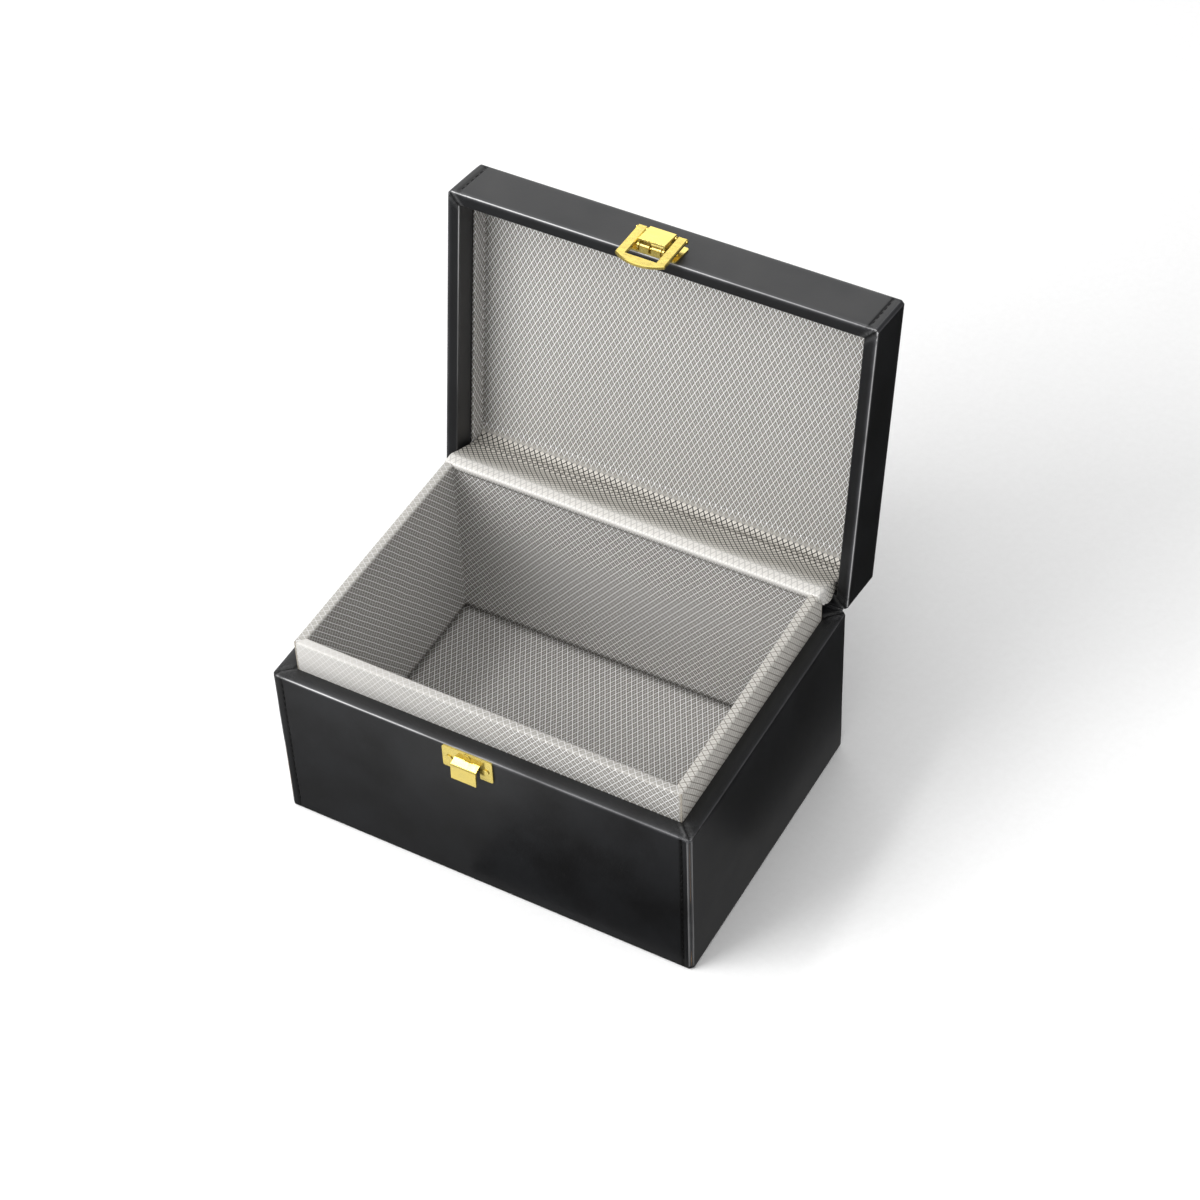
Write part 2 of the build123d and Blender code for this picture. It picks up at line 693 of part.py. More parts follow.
with BuildPart() as latch_loop:
    with BuildSketch(loop_plane.offset(-loop_thickness / 2)):
        with BuildLine():
            Line((half_loop, loop_end), (-half_loop, loop_end))
            Line((-half_loop, loop_end), (-half_loop, -loop_side))
            ThreePointArc((-half_loop, -loop_side), (0, -loop_arc), (half_loop, -loop_side))
            Line((half_loop, -loop_side), (half_loop, loop_end))
        make_face()
        with Locations((0, (loop_end - loop_open_end) / 2)):
            Rectangle(loop_opening, loop_end + loop_open_end, mode=Mode.SUBTRACT)
    extrude(amount=loop_thickness)
    loop_sides = latch_loop.faces().filter_by(Axis(pin_origin, loop_normal))
    chamfer(loop_sides.edges(), loop_edge)
    with BuildSketch(latch_section(half_loop)):
        with Locations((pin_out, pin_up)):
            Circle(pin_radius + pin_clearance)
    extrude(amount=loop_width, mode=Mode.SUBTRACT)
save(latch_loop, "latch_loop")

print("lip top", lip_top, "interior", 2 * inside_half_x, 2 * inside_half_y, lip_top - base_floor)
print("hinge axis", hinge_y, hinge_z)
print("lever pivot", lid_point(latch_x, -box_depth - pivot_out, pivot_up))
print("loop pin", pin_origin)
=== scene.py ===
# %% [markdown]
# # A key box in black PU leather, lined with silver conductive cloth
#
# The real object is a small box of fibreboard. Black imitation leather is glued round its walls
# and folded over the rims. A second, thinner box lines it and stands up past the rim as a lip,
# covered in a silvery cloth that carries metal threads. The lid is hinged on a strip of the same
# leather, and a gold-coloured toggle latch closes the front.
#
# The boards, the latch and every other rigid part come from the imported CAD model. The sheets,
# whose looks depend on folds, rounded edges, seams and weave, are made here as surfaces.

from math import cos, pi, radians, sin

import bpy
import numpy as np
from mathutils import Matrix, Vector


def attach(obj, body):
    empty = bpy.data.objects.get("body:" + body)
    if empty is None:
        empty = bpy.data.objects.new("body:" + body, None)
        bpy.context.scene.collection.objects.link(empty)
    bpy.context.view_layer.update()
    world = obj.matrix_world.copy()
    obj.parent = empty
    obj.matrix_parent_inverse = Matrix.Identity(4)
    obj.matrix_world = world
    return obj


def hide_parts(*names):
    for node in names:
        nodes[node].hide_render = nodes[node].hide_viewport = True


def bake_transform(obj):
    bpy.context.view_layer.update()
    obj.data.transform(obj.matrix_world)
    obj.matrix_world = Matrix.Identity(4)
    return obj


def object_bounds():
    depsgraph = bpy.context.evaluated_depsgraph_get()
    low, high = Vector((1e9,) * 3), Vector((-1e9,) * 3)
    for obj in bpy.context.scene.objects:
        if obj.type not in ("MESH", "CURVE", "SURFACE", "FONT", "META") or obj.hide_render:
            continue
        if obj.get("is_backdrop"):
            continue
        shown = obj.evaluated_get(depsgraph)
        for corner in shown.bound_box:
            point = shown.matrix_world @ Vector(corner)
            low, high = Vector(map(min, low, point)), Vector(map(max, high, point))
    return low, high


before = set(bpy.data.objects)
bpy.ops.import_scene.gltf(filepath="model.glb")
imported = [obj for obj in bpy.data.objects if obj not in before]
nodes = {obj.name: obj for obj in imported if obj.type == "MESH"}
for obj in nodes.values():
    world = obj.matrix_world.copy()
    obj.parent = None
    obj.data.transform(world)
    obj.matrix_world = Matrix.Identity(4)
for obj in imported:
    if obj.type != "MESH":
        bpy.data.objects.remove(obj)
cad_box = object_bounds()

# %% [markdown]
# ## Sizes
#
# All lengths below are in millimetres, as on a maker's drawing, and are turned into metres only
# when a mesh is written. They repeat the sizes that the boards were cut to: the width, depth and
# height of the base, the height of the lid, and the angle at which the lid stands open.

# %% Sizes of the box, in millimetres
WIDTH, DEPTH = 200.0, 143.5
BASE_HEIGHT, LID_HEIGHT = 84.5, 26.3
LIP_TOP, FLOOR = 100.5, 11.0
LEDGE = 7.8            # from the outside of the base to the lining
LINING = 4.5           # thickness of the lining's wall with its cloth on both sides
LID_WALL = 5.8
TURN_IN = 12.0         # how far the leather goes into the lid
INSERT_STEP = 1.2      # how far the silver insert stands proud of that leather
INSERT_FACE = 19.5     # height of the silver panel over the lid's rim
STITCH_INSET = 4.5     # from the ends of a front to its rows of stitches
GROOVE_DEPTH, GROOVE_HALF_WIDTH = 0.55, 0.6
HINGE_Y, HINGE_Z = 71.75, 84.85
OPEN = radians(98.0)
LEATHER_THICKNESS, CLOTH_THICKNESS = 0.7, 0.28
HINGE_STRIP_THICKNESS, HINGE_CLOTH_THICKNESS = 0.55, 0.25
MM = 0.001
print("shut box, mm:", WIDTH, DEPTH, BASE_HEIGHT + LID_HEIGHT)

# %% [markdown]
# ## Small helpers for surfaces
#
# Every sheet here is a grid of points: one direction runs along the sheet, the other across it.
# Blender wants a flat list of corners and faces, so one helper turns any such grid into a mesh,
# with a UV map in metres. A UV map in metres is what makes a woven pattern come out at its real
# scale on every piece, whichever way the surface turns.

# %% From points to a piece
def put_in_scene(name, data):
    """An object at the origin that shows a mesh, a lamp or a camera."""
    piece = bpy.data.objects.new(name, data)
    bpy.context.scene.collection.objects.link(piece)
    return piece


def smooth_piece(name, points, faces):
    """A smooth piece from points in mm and faces as lists of point numbers."""
    mesh = bpy.data.meshes.new(name)
    mesh.from_pydata((points * MM).tolist(), [], faces)
    mesh.polygons.foreach_set("use_smooth", np.ones(len(faces), dtype=bool))
    mesh.update()
    return put_in_scene(name, mesh)


def quads_of(rows, columns, ring=False):
    """The four corner numbers of each quad of a grid, whose points are numbered row by row. On a
    ring the last column is joined to the first."""
    across = np.arange(columns if ring else columns - 1)
    r, c = [g.ravel() for g in np.meshgrid(np.arange(rows - 1), across, indexing="ij")]
    here, after = r * columns + c, r * columns + (c + 1) % columns
    return np.stack([here, after, after + columns, here + columns], 1)


# %% From grid to mesh
def mesh_from_grid(name, points, uv, ring=False, cap=False, flip=False):
    """A mesh from points[row, column] in mm. Quads join neighbours, a ring also joins its last
    column to its first, and a cap closes the last row. uv has one more column on a ring."""
    rows, columns = points.shape[:2]
    quads, corners = quads_of(rows, columns, ring), quads_of(*uv.shape[:2])
    if flip:
        quads, corners = quads[:, ::-1], corners[:, ::-1]
    faces = quads.tolist()
    loops = uv.reshape(-1, 2)[corners.ravel()]
    if cap:
        last = np.arange(columns)[::-1 if flip else 1] + (rows - 1) * columns
        faces.append(last.tolist())
        loops = np.concatenate([loops, points.reshape(-1, 3)[last][:, :2] * MM])
    piece = smooth_piece(name, points.reshape(-1, 3), faces)
    layer = piece.data.uv_layers.new(name="UVMap")
    layer.data.foreach_set("uv", loops.astype(np.float32).ravel())
    print(f"{name}: {len(piece.data.vertices)} points, {len(faces)} faces")
    return piece


def point_values(piece, **fields):
    """Stores numbers per point under a name, which a material can read as an attribute."""
    for name, values in fields.items():
        attribute = piece.data.attributes.new(name, "FLOAT", "POINT")
        filled = np.zeros(len(piece.data.vertices), np.float32) + np.asarray(values, np.float32).ravel()
        attribute.data.foreach_set("value", filled)


def thicken(piece, thickness):
    """Gives a sheet its thickness inwards, with closed edges."""
    solid = piece.modifiers.new("thickness", "SOLIDIFY")
    solid.thickness, solid.offset = thickness * MM, -1.0


# %% [markdown]
# ## The path round a wrapped box
#
# A sheet that is wrapped round a board box follows a rectangle whose corners aren't round: the
# glued edge of the board leaves a narrow flat, with a small radius on each side of it. That is
# why the real corner shows two thin bright lines. The path is made once for each row of a
# profile, since the rectangle shrinks where the sheet folds over the rim.

# %% One corner, and the stations along a side
def corner_template():
    """Unit corner from (0, 0) to (1, 1): the heading turns to 45 degrees over a short arc, stays
    there for a flat, then turns to 90 degrees. The points are the running sum of the steps."""
    heading = np.radians([7.5, 22.5, 37.5, 45, 45, 52.5, 67.5, 82.5])
    step = np.array([0.1, 0.1, 0.1, 0.35, 0.35, 0.1, 0.1, 0.1])
    xy = np.cumsum(np.stack([np.cos(heading) * step, np.sin(heading) * step], 1), 0)
    xy = np.vstack([[0, 0], xy])
    return xy / xy[-1]


def stations(length, middle=14):
    """Stations along a side as shares of its length, close together near both ends, where the
    stitched groove and the corner are, and far apart in the middle."""
    near = np.array([0, 0.4, 0.9, 1.6, 2.4, 3.0, 3.4, 3.7, 3.95, 4.2, 4.5,
                     4.8, 5.05, 5.3, 5.6, 6.1, 7, 9, 12, 16, 22])
    inner = np.linspace(near[-1], length - near[-1], middle + 2)[1:-1]
    return np.concatenate([near, inner, (length - near)[::-1]]) / length


CORNER = corner_template()
BEND = len(CORNER) - 2            # points of a corner between its two ends
LONG, SHORT = stations(WIDTH), stations(DEPTH)


# %% The ring itself
def ring(inset, height, corner):
    """One turn round the box at a distance inset inside its outer faces, at a height, with flats
    of size corner. Returns the points (x, y, height) and the length walked to each."""
    hx, hy = WIDTH / 2 - inset, DEPTH / 2 - inset
    turns = [((1, 0), (0, 1), hx, hy, LONG), ((0, 1), (-1, 0), hy, hx, SHORT),
             ((-1, 0), (0, -1), hx, hy, LONG), ((0, -1), (1, 0), hy, hx, SHORT)]
    xy, walked, start = [], [], 0.0
    for along, inward, half, other, share in turns:
        along, inward = np.array(along, float), np.array(inward, float)
        position = -half + corner + share * 2 * (half - corner)
        xy.append(position[:, None] * along - other * inward)
        nominal = (WIDTH if share is LONG else DEPTH) / 2
        walked.append(start + nominal + position)
        bend = CORNER[1:-1] * corner
        xy.append((half - corner + bend[:, :1]) * along - (other - bend[:, 1:]) * inward)
        part = np.arange(1, BEND + 1) / (BEND + 1)
        walked.append(start + nominal + half - corner + 2 * corner * part)
        start += 2 * nominal
    xy = np.concatenate(xy)
    points = np.column_stack([xy, np.full(len(xy), float(height))])
    return points, np.concatenate(walked)


# The side of each point of a ring: 0 front, 1 right, 2 back, 3 left, and a half more on the
# corner that follows the side.
SIDE = np.concatenate([[k] * len(share) + [k + 0.5] * BEND
                       for k, share in enumerate((LONG, SHORT, LONG, SHORT))])


# %% A profile carried round the box
def wrapped(profile):
    """The grid of a wrapped sheet. profile is a list of (inset, height, corner). The second UV
    coordinate is the length walked down the profile, the first the length walked round."""
    rows, around = zip(*[ring(*row) for row in profile])
    points = np.stack(rows)
    flat = np.array([(i, h) for i, h, _ in profile], float)
    down = np.concatenate([[0], np.cumsum(np.hypot(*np.diff(flat, axis=0).T))])
    around = np.stack(around)
    around = np.column_stack([around, np.full(len(around), 2 * (WIDTH + DEPTH))])
    uv = np.stack([around, np.broadcast_to(down[:, None], around.shape)], 2) * MM
    return points, uv, down


def arc(centre, radius, start, end, steps):
    """Points (inset, height) on an arc. Angles are in degrees, 0 towards the inside, 90 up."""
    a = np.radians(np.linspace(start, end, steps))
    return [(centre[0] + radius * cos(t), centre[1] + radius * sin(t)) for t in a]


def folded(profile, flat, slope):
    """Adds to each (inset, height) the size of its corner: flat on the walls, and smaller by
    slope times the distance further in, down to a sharp mitre."""
    return [(i, h, flat if i < 1.2 else max(0.12, flat - slope * (i - 1.2))) for i, h in profile]


print("points round the box:", len(SIDE))

# %% [markdown]
# ## From the lid's drawing to its place
#
# The lid is drawn shut, as if it stood on its rim. One function then turns its points about the
# hinge to the open pose. Its rows are (x, y, t), where t is the height above the lid's rim.

# %% Turning the lid's points about the hinge
def lid_place(points):
    """World points of a lid drawn shut: r is the distance from the hinge to the front, and the
    pair (r, t) turns by the opening angle about the hinge axis."""
    x, r, t = points[..., 0], HINGE_Y - points[..., 1], points[..., 2]
    y = HINGE_Y - r * cos(OPEN) + t * sin(OPEN)
    return np.stack([x, y, HINGE_Z + r * sin(OPEN) + t * cos(OPEN)], -1)


print("lid front edge at", lid_place(np.array([0.0, -DEPTH / 2, 0.0])).round(2))

# %% [markdown]
# ## Unevenness
#
# Nothing glued by hand is quite flat. A sum of a few slow waves moves a surface by a tenth of a
# millimetre or two, which is what makes long highlights waver as they do on the real box.

# %% Slow waves
def waves(a, b, size, seed):
    """A smooth field of about +-size: six sine waves, 25 to 90 mm long, in fixed directions."""
    rng = np.random.default_rng(seed)
    total = np.zeros(np.broadcast(a, b).shape)
    for _ in range(6):
        length, turn, shift = rng.uniform(25, 90), rng.uniform(0, pi), rng.uniform(0, 2 * pi)
        total = total + np.sin(2 * pi * (a * cos(turn) + b * sin(turn)) / length + shift)
    return size * total / 3


def push_out(points, amount):
    """Moves a ring's points outwards from the box's walls by amount, by the side they are on."""
    out = np.array([(0, -1), (1, 0), (0, 1), (-1, 0)], float)
    low, high = out[np.floor(SIDE).astype(int) % 4], out[np.ceil(SIDE).astype(int) % 4]
    direction = low + high
    direction /= np.linalg.norm(direction, axis=1, keepdims=True)
    points[..., :2] += amount[..., None] * direction


# %% [markdown]
# ## What hands and tools leave in the leather, with painted light and shade
#
# The stitches pull a shallow groove into the front, and the folded corners lie in a mitre with a low
# pleat beside it. The base and the lid have all of these, so each is a function. The grooves and
# creases get painted shade, and thin bright lines along the rubbed edges are painted highlights.
# Those that only change the colour and gloss are stored as numbers per point, which the leather's
# material reads.

# %% Grooves, folds and painted lines
def fades(value, low, high, over):
    """0 up to low, 1 from low + over to high - over, and 0 again from high on."""
    return np.clip((value - low) / over, 0, 1) * np.clip((high - value) / over, 0, 1)


def stitched_groove(points, height, top):
    """How far the front is sunk, as a negative number: a bell-shaped groove at a distance from
    both ends, which fades out at the upper and lower edge."""
    beside = np.abs(points[..., 0]) - (WIDTH / 2 - STITCH_INSET)
    bell = np.exp(-((beside / GROOVE_HALF_WIDTH) ** 2))
    return -GROOVE_DEPTH * bell * (SIDE == 0) * fades(height, 0.8, top - 1.0, 0.8)


def from_walls(points):
    """Distances of points from the nearer end of the box and from its nearer long side."""
    return WIDTH / 2 - np.abs(points[..., 0]), DEPTH / 2 - np.abs(points[..., 1])


def nearness(points, reach):
    """1 at the corners of the box, falling to 0 at reach mm from them along both walls."""
    return np.clip(1 - np.maximum(*from_walls(points)) / reach, 0, 1)


def corner_fold(points, flat):
    """The mitre of a folded corner. s is the distance from the diagonal, so the fold is a thin
    crease on it with a pleat beside it. Returns the rise of the surface and the painted shade of
    the crease, 0 to 1."""
    a, b = from_walls(points)
    s = (a - b) / 2 ** 0.5
    here = flat * np.clip((9.5 - np.maximum(a, b)) / 1.5, 0, 1)
    pleat = 0.24 * np.exp(-(((s - 1.2) / 0.7) ** 2)) + 0.12 * np.exp(-(((s + 1.6) / 0.9) ** 2))
    return here * pleat, here * np.exp(-((s / 0.32) ** 2))


def band(down, row, half_width):
    """A soft band along one row of a profile: 1 on the row, as a column of numbers."""
    return np.exp(-(((down - down[row]) / half_width) ** 2))[:, None]


def painted_line(down, row, amount, half_width=0.22):
    """A thin band along one row of a profile, as strong as amount says at each column. It marks
    painted highlights, and on the base's right side a line of painted shade.
    """
    return band(down, row, half_width) * amount


IS_CORNER = SIDE % 1 > 0
# Painted reflections: two grey lines down each vertical corner, one at each end of its flat.
PAINTED_CORNER_LINES = np.zeros(len(SIDE))
PAINTED_CORNER_LINES[IS_CORNER] = np.tile([0.7, 1.0, 0.45, 0.1, 0.45, 1.0, 0.7], 4)
print("corner points:", int(IS_CORNER.sum()))

# %% [markdown]
# ## The leather of the base
#
# On the real box one strip of PU leather runs round the walls, folds over the rim onto the ledge,
# and is turned in under the bottom. It could be a bevelled box, but the fold, the stitched
# groove, the mitred corners of the ledge and the narrow flats at the corners are what make it
# look wrapped. So it is a profile carried round the box: along the ledge, over the rounded edge,
# down the wall and in under the floor.

# %% Profile of the base's leather, from the lining to the underside
ledge_rows = [(LEDGE + 0.25, BASE_HEIGHT - 1.2), (LEDGE + 0.1, BASE_HEIGHT - 0.68),
              (LEDGE - 0.3, BASE_HEIGHT - 0.6)]
ledge_rows += [(d, BASE_HEIGHT - 0.5 * ((d - 3.6) / 3.6) ** 2)
               for d in (7.2, 6.5, 5.6, 4.6, 3.6, 2.8, 2.1, 1.5, 1.1)]
rim_edge = arc((0.85, BASE_HEIGHT - 1.09), 0.85, 90, 180, 7)
wall_rows = [(0.0, h) for h in (82.6, 81.6, 80, 77, 72, 66, 58, 48, 38, 28, 18, 10, 5, 2.6, 1.4)]
foot_edge = arc((0.9, 0.9), 0.9, 180, 270, 6)
under_rows = [(2.0, 0.0), (3.0, 0.0)]
base_profile = ledge_rows + rim_edge + wall_rows + foot_edge + under_rows
points, uv, down = wrapped(folded(base_profile, 1.9, 1.35))
height = points[..., 2]
around = uv[:, :-1, 0] / MM

# %% Groove, mitres and unevenness of the base's leather
on_wall = np.clip((height - 1.0) / 3, 0, 1) * np.clip((BASE_HEIGHT - 0.9 - height) / 2.0, 0, 1)
sunk = stitched_groove(points, height, BASE_HEIGHT)
push_out(points, sunk + waves(around, height, 0.13, 3) * on_wall)
near_corner = nearness(points, 14)
on_ledge = np.array([1.0 if h > BASE_HEIGHT - 0.5 else 0.0 for _, h in base_profile])[:, None]
rise, crease = corner_fold(points, on_ledge)
points[..., 2] += rise - 0.2 * IS_CORNER * on_ledge
points[..., 2] += on_ledge * waves(around * 4, height + down[:, None] * 6, 0.06, 5)
base_leather = mesh_from_grid("leather_of_base", points, uv, ring=True, cap=True, flip=True)
thicken(base_leather, LEATHER_THICKNESS)

# %% Rubbed edges, painted light, painted reflections, painted highlights and painted shade of the base's leather
rim_row = len(ledge_rows) + 3
at_rim = band(down, rim_row, 0.9) * np.ones(len(SIDE))
painted_corner_lines = PAINTED_CORNER_LINES * (height > 2) * (height < BASE_HEIGHT - 1)
# Painted light: the walls are made lighter towards the top and towards the left.
painted_light_gradient = 0.1 * np.clip(height / BASE_HEIGHT, 0, 1) ** 2 + 0.03 * np.clip(-points[..., 0] / 100, -1, 1)
# The stored wear holds real wear on the rim's edge, weaker on the right side, and on the ledge's corners,
# together with painted light and painted reflections on the walls.
wear = np.maximum(at_rim * np.where(SIDE == 1, 0.3, 1), 0.25 * near_corner ** 2 * on_ledge)
wear = np.maximum(np.maximum(wear, painted_corner_lines), on_wall * painted_light_gradient)
# Painted highlights: a thin bright line along the rim's edge, strongest at the left of the front, fainter
# ones on the vertical corners, and bright specks on the pleats of the ledge.
along_front = np.interp(points[rim_row, :, 0], [-97, -90, -30, 15, 97], [0.6, 1, 0.8, 0.25, 0.15])
painted_highlights = painted_line(down, rim_row, np.where(SIDE == 0, along_front, 0.06))
painted_highlights = painted_highlights + np.where(SIDE == 0.5, 0.18, 0.08) * painted_corner_lines
# Painted shade: dark in the stitched groove, along the crease of each mitre, and in a line just under the
# rim's edge on the right side, all stored as sunk.
painted_shade_under_edge = painted_line(down, rim_row + 2, 0.8 * (SIDE == 1), 0.3)
dark = np.maximum(np.maximum(np.clip(-1.25 * sunk / GROOVE_DEPTH, 0, 1), crease), painted_shade_under_edge)
point_values(base_leather, wear=wear, crumple=near_corner * np.maximum(on_ledge, at_rim), sunk=dark,
             edge=np.clip(painted_highlights + 0.5 * rise * near_corner, 0, 1))
print("pleats of the ledge, mm high:", round(float(rise.max()), 2))

# %% [markdown]
# ## The leather of the lid
#
# The lid is wrapped the same way, but its leather goes over the rim and 12 mm up the inside,
# where the silver insert covers its end. The same path helper serves: only the profile differs.

# %% Profile of the lid's leather, from the inside to the top
inside_rows = [(LID_WALL, h) for h in (TURN_IN + 0.6, 10, 7, 4, 2, 1.2)]
inner_edge = arc((LID_WALL - 0.6, 0.6), 0.6, 0, -90, 5)
rim_rows = [(d, 0.06 * ((d - 3) / 2) ** 2) for d in (4.6, 3.8, 3.0, 2.2, 1.5)]
outer_edge = arc((0.85, 0.85), 0.85, -90, -180, 7)
lid_rows = [(0.0, h) for h in (1.5, 2.4, 4, 7, 11, 15, 19, 22.4, 24, 24.8)]
top_edge = arc((1.1, LID_HEIGHT - 1.1), 1.1, 180, 90, 7)
top_rows = [(2.0, LID_HEIGHT), (3.2, LID_HEIGHT)]
lid_profile = inside_rows + inner_edge + rim_rows + outer_edge + lid_rows + top_edge + top_rows
points, uv, down = wrapped(folded(lid_profile, 1.6, 1.2))
height, around = points[..., 2].copy(), uv[:, :-1, 0] / MM

# %% Groove, mitres and unevenness of the lid's leather
outside = np.array([1.0 if i < 0.01 else 0.0 for i, _ in lid_profile])[:, None]
on_wall = outside * fades(height, 1, LID_HEIGHT - 1, 2.5)
sunk = outside * stitched_groove(points, height, LID_HEIGHT)
push_out(points, sunk + waves(around, height, 0.12, 8) * on_wall)
near_corner = nearness(points, 12)
on_rim = (height < 0.5) * 1.0
rise, crease = corner_fold(points, on_rim)
points[..., 2] += 0.3 * IS_CORNER * on_rim + 0.5 * rise
lid_leather = mesh_from_grid("leather_of_lid", lid_place(points), uv, ring=True, cap=True)
thicken(lid_leather, LEATHER_THICKNESS)

# %% Rubbed edges, painted reflections, painted highlights and painted shade of the lid's leather
inner_row = len(inside_rows) + 2
rim_row = len(inside_rows + inner_edge + rim_rows) + 3
top_row = rim_row + 4 + len(lid_rows) + 3
at_edges = (band(down, rim_row, 0.9) + band(down, top_row, 1.1)) * np.ones(len(SIDE))
# The stored wear holds real wear on the edges and on the rim's corners, together with painted reflections
# on the vertical corners.
wear = np.maximum(np.maximum(at_edges, 0.2 * near_corner ** 2 * on_rim), PAINTED_CORNER_LINES * outside)
# Painted highlights: thin bright lines along the rim's edge, strongest at the front's left and on the
# right, along the top edge, along the inner edge on the left, and specks on the pleats of the rim.
x, y = points[rim_row, :, 0], points[rim_row, :, 1]
along_front = np.interp(x, [-97, -60, 30, 97], [1, 0.9, 0.6, 0.35])
along_left = 0.75 * np.clip(0.45 - y / 110, 0.1, 1)
amount = np.where(SIDE == 0, along_front, np.where((SIDE > 0) & (SIDE <= 1), 0.75, 0.15))
painted_highlights = painted_line(down, rim_row, amount) + painted_line(down, top_row, 0.25)
painted_highlights = painted_highlights + painted_line(down, inner_row, np.where(SIDE >= 3, along_left, 0.05), 0.2)
# Painted shade: dark in the stitched groove and along the crease of each mitre, stored as sunk.
dark = np.maximum(np.clip(-1.25 * sunk / GROOVE_DEPTH, 0, 1), crease)
point_values(lid_leather, wear=wear, crumple=near_corner * np.maximum(on_rim, at_edges), sunk=dark,
             edge=np.clip(painted_highlights + 0.5 * rise * near_corner, 0, 1))
print("pleats of the lid's rim, mm high:", round(0.5 * float(rise.max()), 2))

# %% [markdown]
# ## The silver lining of the base
#
# The lining is a box of grey board inside the first one. Its cloth goes up the inside, over the
# lip and down the outside into the joint, so one profile makes both faces and the rounded top
# edge. The floor is a sheet of its own, as on the real box, where it is glued in last. The cloth
# is pulled a little on its way round, so the lattice is 3.2 mm wide and 4 mm high on the walls.

# %% Cloth over the lining's walls
inner, lip_radius = LEDGE + LINING, 0.9
lining_profile = [(inner, h) for h in (FLOOR - 0.2, 14, 20, 30, 42, 54, 66, 78, 88, 94, 97.5, 99)]
lining_profile += arc((inner - lip_radius, LIP_TOP - lip_radius), lip_radius, 0, 90, 6)
lining_profile += [(inner - 1.5, LIP_TOP), (LEDGE + 1.5, LIP_TOP)]
lining_profile += arc((LEDGE + lip_radius, LIP_TOP - lip_radius), lip_radius, 90, 180, 6)
lining_profile += [(LEDGE, h) for h in (99, 97, 94, 91, 88, 86, 84, 80)]
# The lip's corners are rounded outside and nearly sharp inside.
lip_corner = lambda inset: 1.5 if inset < LEDGE + 0.5 else max(0.35, 1.5 - 0.5 * (inset - LEDGE))
points, uv, down = wrapped([(i, h, lip_corner(i)) for i, h in lining_profile])
uv = uv * (0.86, 1.25)
height = points[..., 2]
free = np.clip((height - 86) / 4, 0, 1)
push_out(points, waves(uv[:, :-1, 0] / MM, height, 0.10, 11) * free * 0.7)
lining_cloth = mesh_from_grid("cloth_of_lining", points, uv, ring=True, flip=True)
thicken(lining_cloth, CLOTH_THICKNESS)

# %% Where the lining's cloth gets painted light, painted shade and a painted sheen
on_lip = np.clip((height - (LIP_TOP - 1.1)) / lip_radius, 0, 1)
outer_face = np.array([1.0 if i < LEDGE + 0.5 else 0.0 for i, _ in lining_profile])[:, None]
side_steps = [0, 0.5, 1, 1.5, 2, 3, 3.5]
# Painted light and shade: a paler ground with dark lattice lines on the lip's top and on its outer face,
# strongest on the right.
painted_light_on_face = np.interp(SIDE, side_steps, [0.1, 0.9, 1, 1, 0.3, 0.3, 0.1])
painted_light_on_top = np.interp(SIDE, side_steps, [0.3, 0.8, 1, 1, 0.5, 0.4, 0.3])
# Painted light: towards the left, the lip's front gets the near-white plain ground that smooth gives, a
# painted sheen; the lip's top gets a little of it all round.
painted_light_on_left = (SIDE == 0) * np.interp(points[..., 0], [-95, 20], [0.6, 0.0])
painted_light_on_left = painted_light_on_left * (outer_face + on_lip).clip(0, 1)
point_values(lining_cloth, stretched=np.maximum(on_lip * painted_light_on_top, outer_face * painted_light_on_face),
             smooth=np.maximum(0.05 * on_lip, painted_light_on_left))
print("lip, mm over the rim:", LIP_TOP - BASE_HEIGHT)

# %% Cloth on the floor
def flat_sheet(name, half_x, half_y, height, bow, seed, place=lambda p: p, flip=False):
    """A level sheet, highest in the middle by bow and a little uneven, with UV = (x, y)."""
    x, y = np.meshgrid(np.linspace(-half_x, half_x, 41), np.linspace(-half_y, half_y, 31))
    rise = bow * (1 - (x / half_x) ** 2) * (1 - (y / half_y) ** 2)
    edge = np.clip(np.minimum(half_x - np.abs(x), half_y - np.abs(y)) / 8, 0, 1)
    points = np.stack([x, y, height + rise + waves(x, y, 0.08, seed) * edge], 2)
    piece = mesh_from_grid(name, place(points), points[..., :2] * MM, flip=flip)
    thicken(piece, CLOTH_THICKNESS)
    return piece


floor_cloth = flat_sheet("cloth_of_floor", WIDTH / 2 - inner + 0.1, DEPTH / 2 - inner + 0.1,
                         FLOOR, 0.15, 21)

# %% [markdown]
# ## The silver insert of the lid
#
# A board covered in the same cloth is pressed into the lid, with a strip standing along each
# wall. The strips are a ring, the panel a sheet that bows by a fraction of a millimetre.

# %% Strips and panel of the lid's insert
strip = LID_WALL + INSERT_STEP
strip_profile = [(LID_WALL - 0.1, TURN_IN + 0.05), (LID_WALL + 0.5, TURN_IN)]
strip_profile += arc((strip - 0.5, TURN_IN + 0.5), 0.5, -90, 0, 5)
strip_profile += [(strip, h) for h in (13.2, 15, 17, 18.6)]
strip_profile += [(strip + 0.15, INSERT_FACE - 0.3), (strip + 0.6, INSERT_FACE + 0.02)]
points, uv, down = wrapped([(i, h, 0.35) for i, h in strip_profile])
left_or_right = np.append(np.floor(SIDE) % 2 == 1, False)
uv[:, left_or_right] = uv[:, left_or_right][..., ::-1]   # there the weave is turned a quarter
insert_strips = mesh_from_grid("cloth_of_lid_strips", lid_place(points), uv, ring=True, flip=True)
thicken(insert_strips, CLOTH_THICKNESS)
insert_panel = flat_sheet("cloth_of_lid_panel", WIDTH / 2 - strip, DEPTH / 2 - strip,
                          INSERT_FACE, -0.35, 31, lid_place, flip=True)

